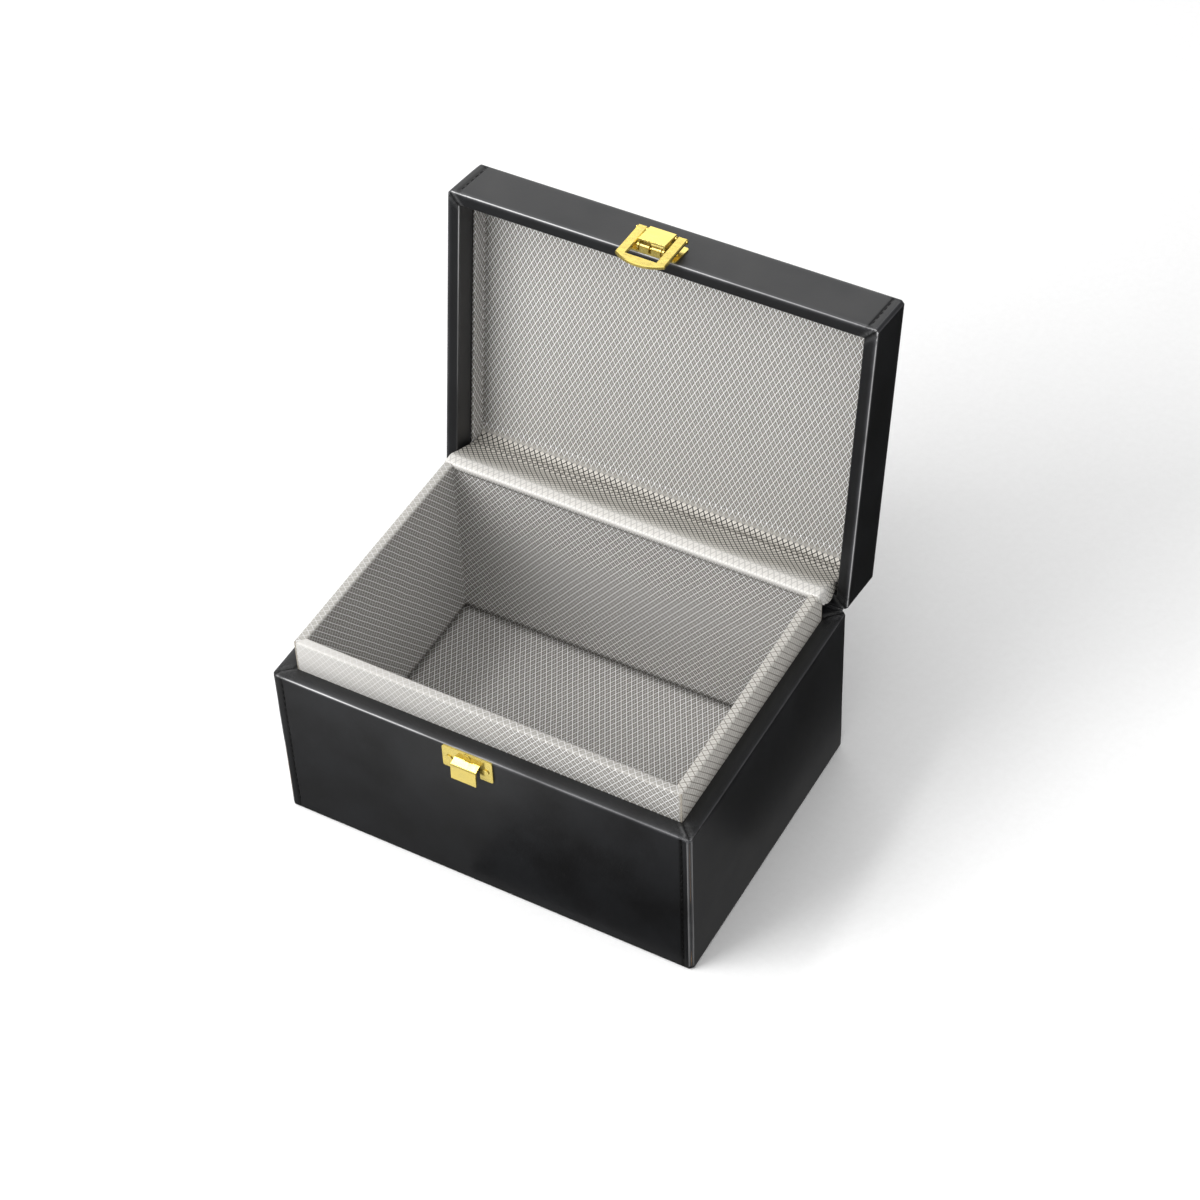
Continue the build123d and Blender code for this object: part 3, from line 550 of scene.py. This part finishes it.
# %% [markdown]
# ## The cloth across the hinge
#
# Behind the lip the cloth runs on to the lid, so that no gap is left round the inside. It is
# glued over the lip, hangs in a soft hollow that gives it the length to move, and is glued again
# to the foot of the lid's panel. At both ends a hem hangs down behind the lip. A simulation could
# drape it, but the two glued edges fix nearly all of its shape, so a curve does it: a Bezier
# across, with two pleats that run together towards the right-hand end.

# %% Path of the hinge cloth, from the lip's inner face to the lid's panel
glued = [(59.25, 97.6), (59.25, 99.0), (59.32, 99.9), (59.7, 100.55),
         (60.4, 100.8), (61.6, 100.86), (63.0, 100.86), (64.4, 100.84)]
panel_rows = [(0.0, HINGE_Y - r, INSERT_FACE - 0.45) for r in (10, 11, 12, 13, 14, 15)]
on_panel = lid_place(np.array(panel_rows))[:, 1:]
start_of_sag, low, back = np.array([(65.4, 100.75), (76.0, 96.0), (88.5, 88.2)])
s = np.linspace(0, 1, 100)[:, None]
sag = (1 - s) ** 3 * start_of_sag + 3 * s * (1 - s) ** 2 * low
sag = sag + 3 * s ** 2 * (1 - s) * back + s ** 3 * on_panel[0]
path = np.vstack([glued, sag, on_panel[1:]])
length = np.concatenate([[0], np.cumsum(np.hypot(*np.diff(path, axis=0).T))])

# %% Ends and hems of the hinge cloth
# u runs across the cloth: along the straight lip, round its end, and down the hem. v runs along
# the path, and share is the part of the free stretch that lies behind, 0 to 1.
half_straight, end_radius, hem = 91.3, 1.2, 8.0
end_arc = end_radius * pi / 2
end = np.linspace(half_straight, half_straight + end_arc + hem, 24)[1:]
u = np.concatenate([-end[::-1], np.linspace(-half_straight, half_straight, 245), end])
v = length[:, None]
share = np.clip((v - length[len(glued)]) / (length[-6] - length[len(glued)]), 0, 1)
turn = np.clip(np.abs(u) - half_straight, 0, end_arc)[None, :] / end_radius
x = np.minimum(np.abs(u), half_straight) + end_radius * np.sin(turn) + (turn > 0) * 0.35 * share
x = np.sign(u) * x
behind_lip = np.clip((path[:, :1] - 61.0) / 2.5, 0, 1) * np.clip((0.9 - share) / 0.5, 0, 1)
hang = np.clip(np.abs(u) - half_straight - end_arc, 0, None)[None, :]
hang = hang * (0.08 + 0.92 * behind_lip * (1 + 0.12 * np.sin(14 * share)))
fall = end_radius * (1 - np.cos(turn)) * np.clip(1.3 - share, 0, 1) + hang

# %% Pleats of the hinge cloth
# The pleats run together from the left end, where converge is 1, to the right, where it is 0.
height = waves(u[None, :] * 1.6, v * 3, 0.16, 41)
height = height * np.clip(share * 4, 0, 1) * np.clip((1 - share) * 5, 0, 1)
valley = np.zeros(height.shape)
converge = 0.5 + 0.5 * (half_straight - u[None, :]) / (2 * half_straight)
for k, centre in enumerate((0.62, 0.74)):
    line = 0.93 - (0.93 - centre) * converge
    line = line + 0.012 * np.sin(u / 17.0 + 2.1 * k) + 0.006 * np.sin(u / 5.3 + k)
    height += 0.4 * np.exp(-((share - line) / 0.03) ** 2) * np.clip((1 - share) * 8, 0, 1)
    # Painted shade: a dark line along the foot of each pleat.
    valley = np.maximum(valley, 0.5 * np.exp(-((share - line - 0.04) / 0.015) ** 2))
slope = np.gradient(path, axis=0)
slope /= np.linalg.norm(slope, axis=1, keepdims=True)
points = np.stack([x, path[:, :1] - slope[:, 1:] * height,
                   path[:, 1:] + slope[:, :1] * height - fall], 2)

# %% Mesh of the hinge cloth
# The UV goes on from the panel's, and runs 1.4 times as fast over the hollow, where the lattice
# is pushed together.
in_hollow = (length > 7) & (length < length[-1] - 4.0)
pull = np.gradient(length) * np.where(in_hollow, 1.4, 1.0)
down = HINGE_Y - 15 + np.cumsum(pull[::-1])[::-1] - pull[-1]
uv = np.stack(np.broadcast_arrays(u[None, :], down[:, None]), 2) * MM
hinge_cloth = mesh_from_grid("cloth_of_hinge", points, uv)
thicken(hinge_cloth, HINGE_CLOTH_THICKNESS)
# Painted light and shade: over the hollow the ground is pale and the lattice lines are dark.
net = np.clip((v - 1.5) / 2, 0, 1) * np.clip((length[-1] - 2.5 - v) / 3, 0, 1)
# Painted sheen near the lip: smooth gives a near-white ground without the lattice.
smooth = 0.75 * np.clip((17 - v) / 9, 0, 1) * np.clip(v / 3, 0, 1)
point_values(hinge_cloth, valley=valley, stretched=net + 0 * height, smooth=smooth + 0 * height)

# %% [markdown]
# ## The leather strip outside the hinge
#
# A strip of the box's own leather is glued over the joint at the back. It bends at the hinge
# axis, so its profile is a short wall on the base, a quick bend, and a short wall on the lid.

# %% Strip outside the hinge
def behind_lid(t, out):
    """A point t up the lid's back wall and out from it, as (y, z) in the open pose."""
    return tuple(lid_place(np.array([0.0, HINGE_Y + out, t]))[1:])


on_base = [(HINGE_Y + 0.1, 70.5)] + [(HINGE_Y + 0.6, h) for h in (71.2, 74, 78, 81, 82.6)]
bend_from, bend_to = np.array(on_base[-1]), np.array(behind_lid(2.6, 0.9))
knee = np.array([HINGE_Y + 0.7, HINGE_Z - 1.0])
s = np.linspace(0, 1, 12)[1:-1, None]
bend = (1 - s) ** 2 * bend_from + 2 * s * (1 - s) * knee + s ** 2 * bend_to
on_lid = [behind_lid(t, 0.9) for t in (2.6, 5, 8, 11, 13.6)] + [behind_lid(14.0, 0.4)]
strip_path = np.vstack([on_base, bend, on_lid])
across = np.linspace(-97.6, 97.6, 81)
length = np.concatenate([[0], np.cumsum(np.hypot(*np.diff(strip_path, axis=0).T))])
wavy = waves(across[None, :], length[:, None] * 2, 0.05, 51)
points = np.stack(np.broadcast_arrays(across, strip_path[:, :1] + wavy, strip_path[:, 1:]), 2)
strip_uv = np.stack(np.broadcast_arrays(across[None, :], length[:, None]), 2) * MM
hinge_leather = mesh_from_grid("leather_of_hinge", points, strip_uv, flip=True)
thicken(hinge_leather, HINGE_STRIP_THICKNESS)
greyer_and_glossier = 0.5 * np.exp(-((length[:, None] - length[len(on_base) + 5]) / 2.5) ** 2) + 0 * wavy
point_values(hinge_leather, wear=greyer_and_glossier, crumple=0, sunk=0, edge=0)

# %% [markdown]
# ## Stitches
#
# Both ends of each front carry a row of machine stitches in the groove. A stitch is a short
# thread that dips into the leather at both ends: a thin tube whose radius and height fall to
# nothing at its ends. One such tube is copied along each row.

# %% One stitch, copied along the rows
def stitches(name, centres, place, length=3.0, thick=0.8, proud=0.3):
    """Small tubes along z on the plane y = 0. With s from -1 to 1 along a tube, its radius
    follows the root of 1 - s^4, and its middle line rises by proud as the parabola 1 - s^2."""
    s = np.linspace(-1, 1, 9)[:, None]
    a = np.linspace(0, 2 * pi, 8, endpoint=False)[None, :]
    radius = 0.5 * thick * np.clip(1 - s ** 4, 0, 1) ** 0.5
    y = -proud * (1 - s ** 2) - radius * np.sin(a) * 0.8 + 0.15
    one = np.stack(np.broadcast_arrays(radius * np.cos(a), y, s * length / 2), 2)
    quads = quads_of(*one.shape[:2], ring=True)[:, ::-1]
    points = (one.reshape(1, -1, 3) + centres[:, None, :]).reshape(-1, 3)
    first = np.arange(len(centres)) * one.shape[0] * one.shape[1]
    faces = (quads[None] + first[:, None, None]).reshape(-1, 4)
    print(name, "stitches:", len(centres))
    return smooth_piece(name, place(points), faces.tolist())


def rows_of(height, count, pitch=3.8):
    """Centres of the stitches of both ends of a front that is height high."""
    z = height / 2 + (np.arange(count) - (count - 1) / 2) * pitch
    ends = (-(WIDTH / 2 - STITCH_INSET), WIDTH / 2 - STITCH_INSET)
    return np.array([(x, -DEPTH / 2 + GROOVE_DEPTH, h) for x in ends for h in z])


base_thread = stitches("thread_of_base", rows_of(BASE_HEIGHT, 20), lambda p: p)
lid_thread = stitches("thread_of_lid", rows_of(LID_HEIGHT, 5), lid_place)

# %% [markdown]
# ## Colour and nodes
#
# Colours are written as on a colour card, in sRGB hex. Blender works in linear light, so one
# function converts them. One more function adds a shader node with its settings and links.

# %% Colour and node helpers
def linear(hex_colour):
    """sRGB hex to linear RGBA: the standard curve, channel by channel."""
    c = np.array([int(hex_colour[i:i + 2], 16) for i in (1, 3, 5)]) / 255
    c = np.where(c <= 0.04045, c / 12.92, ((c + 0.055) / 1.055) ** 2.4)
    return (*c.tolist(), 1.0)


MODE = {"Math": "operation", "VectorMath": "operation", "Mix": "data_type",
        "MapRange": "interpolation_type", "TexVoronoi": "feature", "Attribute": "attribute_name"}


def add(tree, kind, *values, mode=None, out=None, **named):
    """Adds a node and returns its output out, or else the first one in use. kind is its type
    without ShaderNode, and mode its operation, data type or attribute. values go to its inputs
    in use, in their order, and named ones to the inputs of that name, with _ for a space."""
    node = tree.nodes.new("ShaderNode" + kind)
    if mode:
        setattr(node, MODE[kind], mode)
    pairs = list(zip([socket for socket in node.inputs if socket.enabled], values))
    pairs += [(node.inputs[name.replace("_", " ")], value) for name, value in named.items()]
    for socket, value in pairs:
        if isinstance(value, bpy.types.NodeSocket):
            tree.links.new(value, socket)
        else:
            socket.default_value = value
    return node.outputs[out] if out else next((o for o in node.outputs if o.enabled), None)


def new_material(name):
    """A material whose nodes are still to be added, and the tree to add them to."""
    material = bpy.data.materials.new(name)
    material.use_nodes = True
    material.node_tree.nodes.clear()
    print("material:", name)
    return material, material.node_tree


# %% [markdown]
# ## PU leather
#
# PU leather is a cloth with a film of polyurethane, pressed with a fine grain. It is black with
# a satin sheen: the colour hardly varies, and what the eye reads is the highlight, broken by
# grain about half a millimetre across. Edges that rub are smoother and greyer, and the same grey
# carries painted light on the walls and painted reflections on the corners. Thin bright lines on
# folded edges are painted highlights, and grooves, creases and the wrinkles of crumpled corners
# have painted shade.

# %% Material: PU leather
def pu_leather():
    """A black film whose relief is grain and pores. Its wear, painted light, painted highlights and
    painted shade on edges, folds and corners come from the numbers that the leather's points carry."""
    material, tree = new_material("PU leather")
    place = add(tree, "TexCoord", out="Object")
    wear, crumple, edge, sunk = [add(tree, "Attribute", mode=name, out="Fac")
                                 for name in ("wear", "crumple", "edge", "sunk")]
    grain = add(tree, "TexVoronoi", mode="SMOOTH_F1", Vector=place, Scale=1900.0, Smoothness=0.6)
    pores = add(tree, "TexNoise", Vector=place, Scale=900.0, Detail=3.0, Roughness=0.6)
    cloudy = add(tree, "TexNoise", Vector=place, Scale=38.0, Detail=4.0, Roughness=0.55)
    wrinkles = add(tree, "TexNoise", Vector=place, Scale=420.0, Detail=5.0, Roughness=0.65,
                   Distortion=1.2)
    # Colour: black in two shades, greyer where it is rubbed and where light and reflections are
    # painted, painted highlights on folds, painted shade in grooves, creases and wrinkles.
    greyer_and_glossier = add(tree, "Math", wear, add(tree, "MapRange", cloudy, 0.3, 0.62, 0.35, 1.0), mode="MULTIPLY")
    painted_highlight = add(tree, "Math", edge, add(tree, "MapRange", cloudy, 0.3, 0.6, 0.55, 1.0), mode="MULTIPLY")
    # Painted shade: the low parts of the wrinkles on crumpled corners are darker.
    painted_wrinkle_shade = add(tree, "Math", add(tree, "MapRange", wrinkles, 0.42, 0.52, 0.85, 0.0), crumple,
              mode="MULTIPLY")
    colour = add(tree, "Mix", add(tree, "MapRange", cloudy, 0.35, 0.65), linear("#121213"),
                 linear("#18191b"), mode="RGBA")
    for amount, shade in ((greyer_and_glossier, "#4c4c4f"), (painted_highlight, "#e2e2e2"), (sunk, "#030303"), (painted_wrinkle_shade, "#050505")):
        colour = add(tree, "Mix", amount, colour, linear(shade), mode="RGBA")
    # Gloss: satin, and smoother where it is rubbed and where light is painted. Relief: grain and
    # pores, then wrinkles.
    satin = add(tree, "MapRange", cloudy, 0.3, 0.7, 0.38, 0.46)
    rough = add(tree, "Mix", greyer_and_glossier, satin, 0.2, mode="FLOAT")
    fine = add(tree, "Math", pores, 0.35, grain, mode="MULTIPLY_ADD")
    folded_up = add(tree, "Math", wrinkles, crumple, mode="MULTIPLY")
    bump = add(tree, "Bump", Strength=0.16, Distance=0.00012, Height=fine)
    bump = add(tree, "Bump", Strength=0.8, Distance=0.0012, Height=folded_up, Normal=bump)
    shader = add(tree, "BsdfPrincipled", Base_Color=colour, Roughness=rough, Normal=bump, IOR=1.5)
    add(tree, "OutputMaterial", shader)
    return material


LEATHER = pu_leather()

# %% [markdown]
# ## Conductive cloth
#
# The lining is polyester woven with metal-coated yarn. A second, thicker yarn crosses it in a
# lattice of diamonds 2.8 mm wide and 5 mm long, which stands slightly proud and catches more
# light, with thinner lines halfway between. The lattice is two families of stripes on the UV
# map, which is in metres, so the number of stripes per metre is 1000 divided by the spacing in
# millimetres. Between them the ground is a plain weave, far too fine to see one by one, so it is
# drawn at 0.5 mm. The yarns get painted shade beside them. Where light and shade are painted, over
# the lip and in the hinge's hollow, the ground turns pale and the lattice shows as dark lines, and
# where a painted sheen is put on the lip, the cloth is near white and plain.

# %% Lines on the cloth
ACROSS, ALONG = 362.0, 200.0      # stripes per metre: 1000 / 2.76 mm and 1000 / 5 mm


def stripes(tree, position, direction, width):
    """Thin lines where the wave of position along direction passes zero, 1 on the line and 0
    between, as a soft step of the sine's size."""
    along = add(tree, "VectorMath", position, direction, mode="DOT_PRODUCT")
    turn = add(tree, "Math", along, pi, mode="MULTIPLY")
    size = add(tree, "Math", add(tree, "Math", turn, mode="SINE"), mode="ABSOLUTE")
    return add(tree, "MapRange", size, width * 0.35, width, 1.0, 0.0, mode="SMOOTHSTEP")


def diamonds(tree, position, times, width):
    """Two families of stripes that cross, times as close as the lattice's thick yarn."""
    one, two = [stripes(tree, position, (times * across, times * ALONG, 0), width)
                for across in (ACROSS, -ACROSS)]
    return add(tree, "Math", one, two, mode="MAXIMUM")


# %% Material: conductive cloth
def conductive_cloth(name="conductive cloth", painted_light_ground="#d3d0ca", dark_line="#857f77", bold=None):
    """painted_light_ground and dark_line are the colours of ground and lattice where light and shade
    are painted on the cloth, and bold the width of the lattice's lines there, where it isn't the
    usual one."""
    material, tree = new_material(name)
    uv = add(tree, "UVMap")
    stretched, smooth, valley = [add(tree, "Attribute", mode=name, out="Fac")
                                 for name in ("stretched", "smooth", "valley")]
    # smooth marks a painted sheen: there the lattice is left out and the ground turns near white.
    outside_painted_light, plain = [add(tree, "Math", 1.0, value, mode="SUBTRACT") for value in (stretched, smooth)]
    # The yarns wander by half a millimetre.
    drift = add(tree, "TexNoise", Vector=uv, Scale=60.0, Detail=2.0, out="Color")
    moved = add(tree, "VectorMath", drift, (0.0006, 0.0006, 0), uv, mode="MULTIPLY_ADD")
    lattice = diamonds(tree, moved, 1, 0.32)
    if bold:
        lattice = add(tree, "Mix", stretched, lattice, diamonds(tree, moved, 1, bold), mode="FLOAT")
    strength = add(tree, "Math", stretched, -0.4, 0.6, mode="MULTIPLY_ADD")
    between = add(tree, "Math", diamonds(tree, moved, 2, 0.42), strength, mode="MULTIPLY")
    lattice = add(tree, "Math", lattice, between, mode="MAXIMUM")
    lattice = add(tree, "Math", lattice, plain, mode="MULTIPLY")
    # Painted shade: a dark band beside each yarn, left out where light and shade are painted.
    beside = add(tree, "Math", diamonds(tree, moved, 2, 0.95), 0.75, mode="MULTIPLY")
    beside = add(tree, "Math", beside, outside_painted_light, mode="MULTIPLY")
    # Colour: a mottled ground with painted shade beside the yarns, the paler ground of painted light
    # and the near-white painted sheen, then the lattice and painted shade along the pleats.
    mottle = add(tree, "TexNoise", Vector=uv, Scale=1400.0, Detail=3.0, Roughness=0.7)
    ground = add(tree, "Mix", add(tree, "MapRange", mottle, 0.35, 0.65), linear("#716c64"),
                 linear("#aeaaa2"), mode="RGBA")
    for amount, shade in ((beside, "#453f38"), (stretched, painted_light_ground), (smooth, "#efede9")):
        ground = add(tree, "Mix", amount, ground, linear(shade), mode="RGBA")
    yarn = add(tree, "Mix", stretched, linear("#ffffff"), linear(dark_line), mode="RGBA")
    colour = add(tree, "Mix", lattice, ground, yarn, mode="RGBA")
    colour = add(tree, "Mix", valley, colour, linear("#3f3933"), mode="RGBA")
    # Relief: the lattice, and a quarter as high the plain weave, 2000 threads per metre.
    weft, warp = [stripes(tree, uv, direction, 1.0) for direction in ((0, 2000.0, 0), (2000.0, 0, 0))]
    weave = add(tree, "Math", weft, warp, mode="MULTIPLY")
    relief = add(tree, "Math", weave, 0.25, lattice, mode="MULTIPLY_ADD")
    bump = add(tree, "Bump", Strength=0.5, Distance=0.00015, Height=relief)
    rough = add(tree, "Mix", lattice, 0.5, 0.36, mode="FLOAT")
    shader = add(tree, "BsdfPrincipled", Base_Color=colour, Roughness=rough, Metallic=0.2, Normal=bump)
    add(tree, "OutputMaterial", shader)
    return material


CLOTH = conductive_cloth()
HINGE_CLOTH = conductive_cloth("conductive cloth, creased", "#d6d2ca", "#120e0a", 0.5)

# %% [markdown]
# ## Plated metal, thread and board
#
# The latch is die-cast zinc with a bright gold-coloured plating: a metal whose colour is all in
# its reflection. The plating is polished, apart from faint wipe marks, with painted shade in a
# narrow ring round each screw. Thread is matt polyester, and the boards are raw fibre with a
# speckle of lighter and darker fibres.

# %% Material: plated zinc alloy
def plated_zinc(name="plated zinc alloy", heads=()):
    """heads lists (centre, radius) of screw heads in metres: a narrow ring round each is painted
    dark, as painted shade."""
    material, tree = new_material(name)
    place = add(tree, "TexCoord", out="Object")
    smear = add(tree, "TexNoise", Vector=place, Scale=240.0, Detail=4.0)
    rough = add(tree, "MapRange", smear, 0.3, 0.7, 0.14, 0.24)
    ripple = add(tree, "TexNoise", Vector=place, Scale=320.0, Detail=1.0)
    bump = add(tree, "Bump", Strength=0.15, Distance=0.0003, Height=ripple)
    colour = add(tree, "Mix", smear, linear("#dfc663"), linear("#ead780"), mode="RGBA")
    for centre, radius in heads:
        away = add(tree, "VectorMath", place, centre, mode="DISTANCE")
        # Painted shade: a dark ring just outside each head.
        painted_shade_ring = add(tree, "MapRange", away, radius + 0.0002, radius + 0.0006, 0.85, 0.0,
                    mode="SMOOTHSTEP")
        colour = add(tree, "Mix", painted_shade_ring, colour, linear("#33250c"), mode="RGBA")
    shader = add(tree, "BsdfPrincipled", Base_Color=colour, Metallic=0.85, Roughness=rough, Normal=bump)
    add(tree, "OutputMaterial", shader)
    return material


def heads_of(*names):
    """Centre and radius of each screw or rivet head: the points of a node, parted where their x
    values leave a gap of over 1 mm. Read from the node's own mesh, which isn't changed."""
    found = []
    for name in names:
        mesh = nodes[name].data
        points = np.empty(len(mesh.vertices) * 3)
        mesh.vertices.foreach_get("co", points)
        points = points.reshape(-1, 3)
        points = points[np.argsort(points[:, 0])]
        for part in np.split(points, np.flatnonzero(np.diff(points[:, 0]) > MM) + 1):
            low, high = part.min(0), part.max(0)
            found.append((tuple(((low + high) / 2).tolist()), float(high[0] - low[0]) / 2))
    print(*names, "heads, radius in mm:", [round(radius / MM, 2) for _, radius in found])
    return found


METAL = plated_zinc()
KEEPER_METAL = plated_zinc("plated zinc alloy, painted shade round the keeper's screws",
                           heads_of("keeper_screws", "keeper_rivet"))
PLATE_METAL = plated_zinc("plated zinc alloy, painted shade round the plate's screws",
                          heads_of("latch_plate_screws"))

# %% Materials: thread, boards and paper
def matt(name, dark, light, scale, roughness, height):
    """A matt finish with a speckle between two colours, and the same speckle as relief."""
    material, tree = new_material(name)
    place = add(tree, "TexCoord", out="Object")
    speckle = add(tree, "TexNoise", Vector=place, Scale=scale, Detail=5.0, Roughness=0.7)
    fibre = add(tree, "MapRange", speckle, 0.35, 0.65)
    colour = add(tree, "Mix", fibre, linear(dark), linear(light), mode="RGBA")
    bump = add(tree, "Bump", Strength=0.5, Distance=height, Height=speckle)
    shader = add(tree, "BsdfPrincipled", Base_Color=colour, Roughness=roughness, Normal=bump)
    add(tree, "OutputMaterial", shader)
    return material


THREAD = matt("polyester thread", "#040404", "#0b0b0c", 3000.0, 0.7, 0.0001)
FIBREBOARD = matt("fibreboard", "#7a5a3a", "#a27c55", 900.0, 0.85, 0.0002)
GREYBOARD = matt("grey board", "#8b857b", "#a8a298", 900.0, 0.9, 0.0002)
PAPER = matt("matt white paper", "#fcfcfc", "#ffffff", 300.0, 0.9, 0.00002)

# %% [markdown]
# ## Every piece on its body
#
# Each new piece is given its finish, rides on the body that carries it, and takes the place of
# the plain solids that stood for it, which are hidden. The two sheets that cross the hinge ride on
# neither body and keep the shape they are made in, with the lid open. The CAD parts that keep
# their shape only get their finish.

# %% Finishes, bodies and the solids that are replaced
def dress(piece, material, slot, body, *replaced):
    """Gives a piece its finish and its body, and hides the nodes that it stands for."""
    piece.data.materials.append(material)
    if body:
        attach(piece, body)
    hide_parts(*replaced)
    print(piece.name, "stands for", len(replaced), "solids")


def walls_of(start):
    """The names of the four walls' nodes that begin with start."""
    return [f"{start}_{side}" for side in ("front", "back", "left", "right")]


dress(base_leather, LEATHER, "leather", "base", "base_leather_bottom", *walls_of("base_leather"))
dress(lid_leather, LEATHER, "leather", "lid", "lid_leather_top", *walls_of("lid_leather"))
dress(lining_cloth, CLOTH, "silver_cloth", "base", *walls_of("liner_cloth"))
dress(floor_cloth, CLOTH, "silver_cloth", "base", "liner_cloth_floor")
dress(insert_strips, CLOTH, "silver_cloth", "lid", *walls_of("lid_insert"))
dress(insert_panel, CLOTH, "silver_cloth", "lid", "lid_insert_panel")
dress(hinge_cloth, HINGE_CLOTH, "silver_cloth", None, "hinge_cloth")
dress(hinge_leather, LEATHER, "leather", None, "hinge_leather_strip")
dress(base_thread, THREAD, "thread", "base", "base_stitching")
dress(lid_thread, THREAD, "thread", "lid", "lid_stitching")

# %% Sheets that cross the hinge
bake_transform(hinge_cloth)
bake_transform(hinge_leather)
print("flat width of the hinge cloth, mm:", round(float(u[-1] - u[0]), 1))

# %% Finishes of the CAD parts that show as they are
FINISHES = {"keeper_plate": KEEPER_METAL, "latch_plate": PLATE_METAL}
for name, node in nodes.items():
    if name.startswith(("latch", "keeper", "lever", "loop")):
        finish = FINISHES.get(name, METAL)
    elif "board" in name:
        finish = GREYBOARD if name.startswith("liner") else FIBREBOARD
    else:
        continue
    for place in node.material_slots:
        place.material = finish
    print(name, "in", finish.name)

# %% [markdown]
# ## Floor, light and camera
#
# The photograph was taken on white with broad soft light. A pale floor and a pale world give the
# background. A large soft panel above lights the tops, and a narrow strip above draws the
# highlights on the edges. A panel in front lights the front and the inside of the lid without
# being mirrored, one on the right and one behind lift the sides. The camera stands where the
# photograph was taken from, worked out from the corners of the box.

# %% Floor and world
def flat_piece(name, corners, material):
    """One four-sided face for the stage, from its corners in metres."""
    mesh = bpy.data.meshes.new(name)
    mesh.from_pydata(corners, [], [(0, 1, 2, 3)])
    mesh.materials.append(material)
    return put_in_scene(name, mesh)


below = -0.0005
studio_floor = flat_piece("floor", [(-6, -6, below), (6, -6, below), (6, 6, below), (-6, 6, below)], PAPER)
studio_floor.visible_glossy = False
studio_floor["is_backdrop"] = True

world = bpy.data.worlds.new("studio")
world.use_nodes = True
world.node_tree.nodes["Background"].inputs[0].default_value = (1, 1, 1, 1)
world.node_tree.nodes["Background"].inputs[1].default_value = 0.2
bpy.context.scene.world = world


# %% Lamps
def soft_panel(name, centre, aim, size, power):
    """A rectangular lamp at centre that faces aim, with its long side level."""
    lamp = bpy.data.lights.new(name, "AREA")
    lamp.shape, lamp.energy = "RECTANGLE", power
    lamp.size, lamp.size_y = size
    holder = put_in_scene(name, lamp)
    z = np.array(centre, float) - np.array(aim, float)
    z /= np.linalg.norm(z)
    x = np.cross((0, 0, 1), z)
    x /= np.linalg.norm(x)
    matrix = np.eye(4)
    matrix[:3] = np.column_stack([x, np.cross(z, x), z, centre])
    holder.matrix_world = Matrix(matrix.tolist())
    print(name, power, "W")
    return holder


soft_panel("panel above", (-0.2, -0.75, 1.7), (0, 0.03, 0.1), (2.6, 2.0), 20)
soft_panel("strip above", (-0.55, -0.05, 1.35), (0, 0.03, 0.1), (1.1, 0.09), 3.2)
in_front = soft_panel("panel in front", (-0.9, -1.1, 0.9), (0, 0, 0.1), (1.1, 1.1), 24)
in_front.visible_glossy = False
soft_panel("panel on the right", (1.4, -0.1, 0.75), (0, 0.03, 0.1), (0.9, 0.9), 6)
soft_panel("panel behind", (-0.7, 1.5, 0.90), (0, 0.05, 0.15), (2.4, 0.9), 11)


# %% Cards that only reflections can see
def reflector(name, left, right, near, far, height, shade, far_height=None):
    """A card that nothing sees but reflections, at height, or leaning from it to far_height. The
    upper part of the front mirrors the grey one and the keeper the white ones. The black ones
    keep the right side and the foot dark."""
    top = height if far_height is None else far_height
    corners = [(left, near, height), (right, near, height), (right, far, top), (left, far, top)]
    card = flat_piece(name, corners, matt(name, shade, shade, 300.0, 0.9, 0.00002))
    card.visible_camera = card.visible_diffuse = card.visible_shadow = False
    card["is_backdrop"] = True
    print(name, "for reflections only")


reflector("grey card", -0.30, 0.02, -0.34, -0.118, 0.002, "#989898")
reflector("white card", -0.064, -0.016, -0.150, -0.118, 0.003, "#eeeeee")
reflector("upright white card", -0.085, -0.010, -0.215, -0.140, 0.09, "#f4f4f4", 0.20)
reflector("black card, right", 0.112, 0.45, 0.0, 0.50, 0.002, "#080808")
reflector("black card, foot", -0.01, 0.15, -0.117, -0.075, 0.002, "#101010")

# %% Camera
camera_data = bpy.data.cameras.new("camera")
camera_data.lens, camera_data.sensor_width = 91.93, 36.0
camera_data.clip_start, camera_data.clip_end = 0.01, 20.0
camera = put_in_scene("camera", camera_data)
right = (0.87443, 0.48413, -0.03195)
upward = (-0.32839, 0.63904, 0.69556)
backward = (0.35716, -0.59772, 0.71776)
where = (0.4734, -0.7582, 1.0304)
camera.matrix_world = Matrix([*zip(right, upward, backward, where), (0, 0, 0, 1)])
bpy.context.scene.camera = camera
bpy.context.scene.view_settings.view_transform = "Standard"
print("camera at", where, "lens in mm:", camera_data.lens)

# %% Sizes of the finished model beside the CAD model's
visual_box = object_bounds()
plain = lambda box: [[float(v) for v in corner] for corner in box]
{"cad": plain(cad_box), "visual": plain(visual_box)}
print("CAD box", plain(cad_box), "visual box", plain(visual_box))
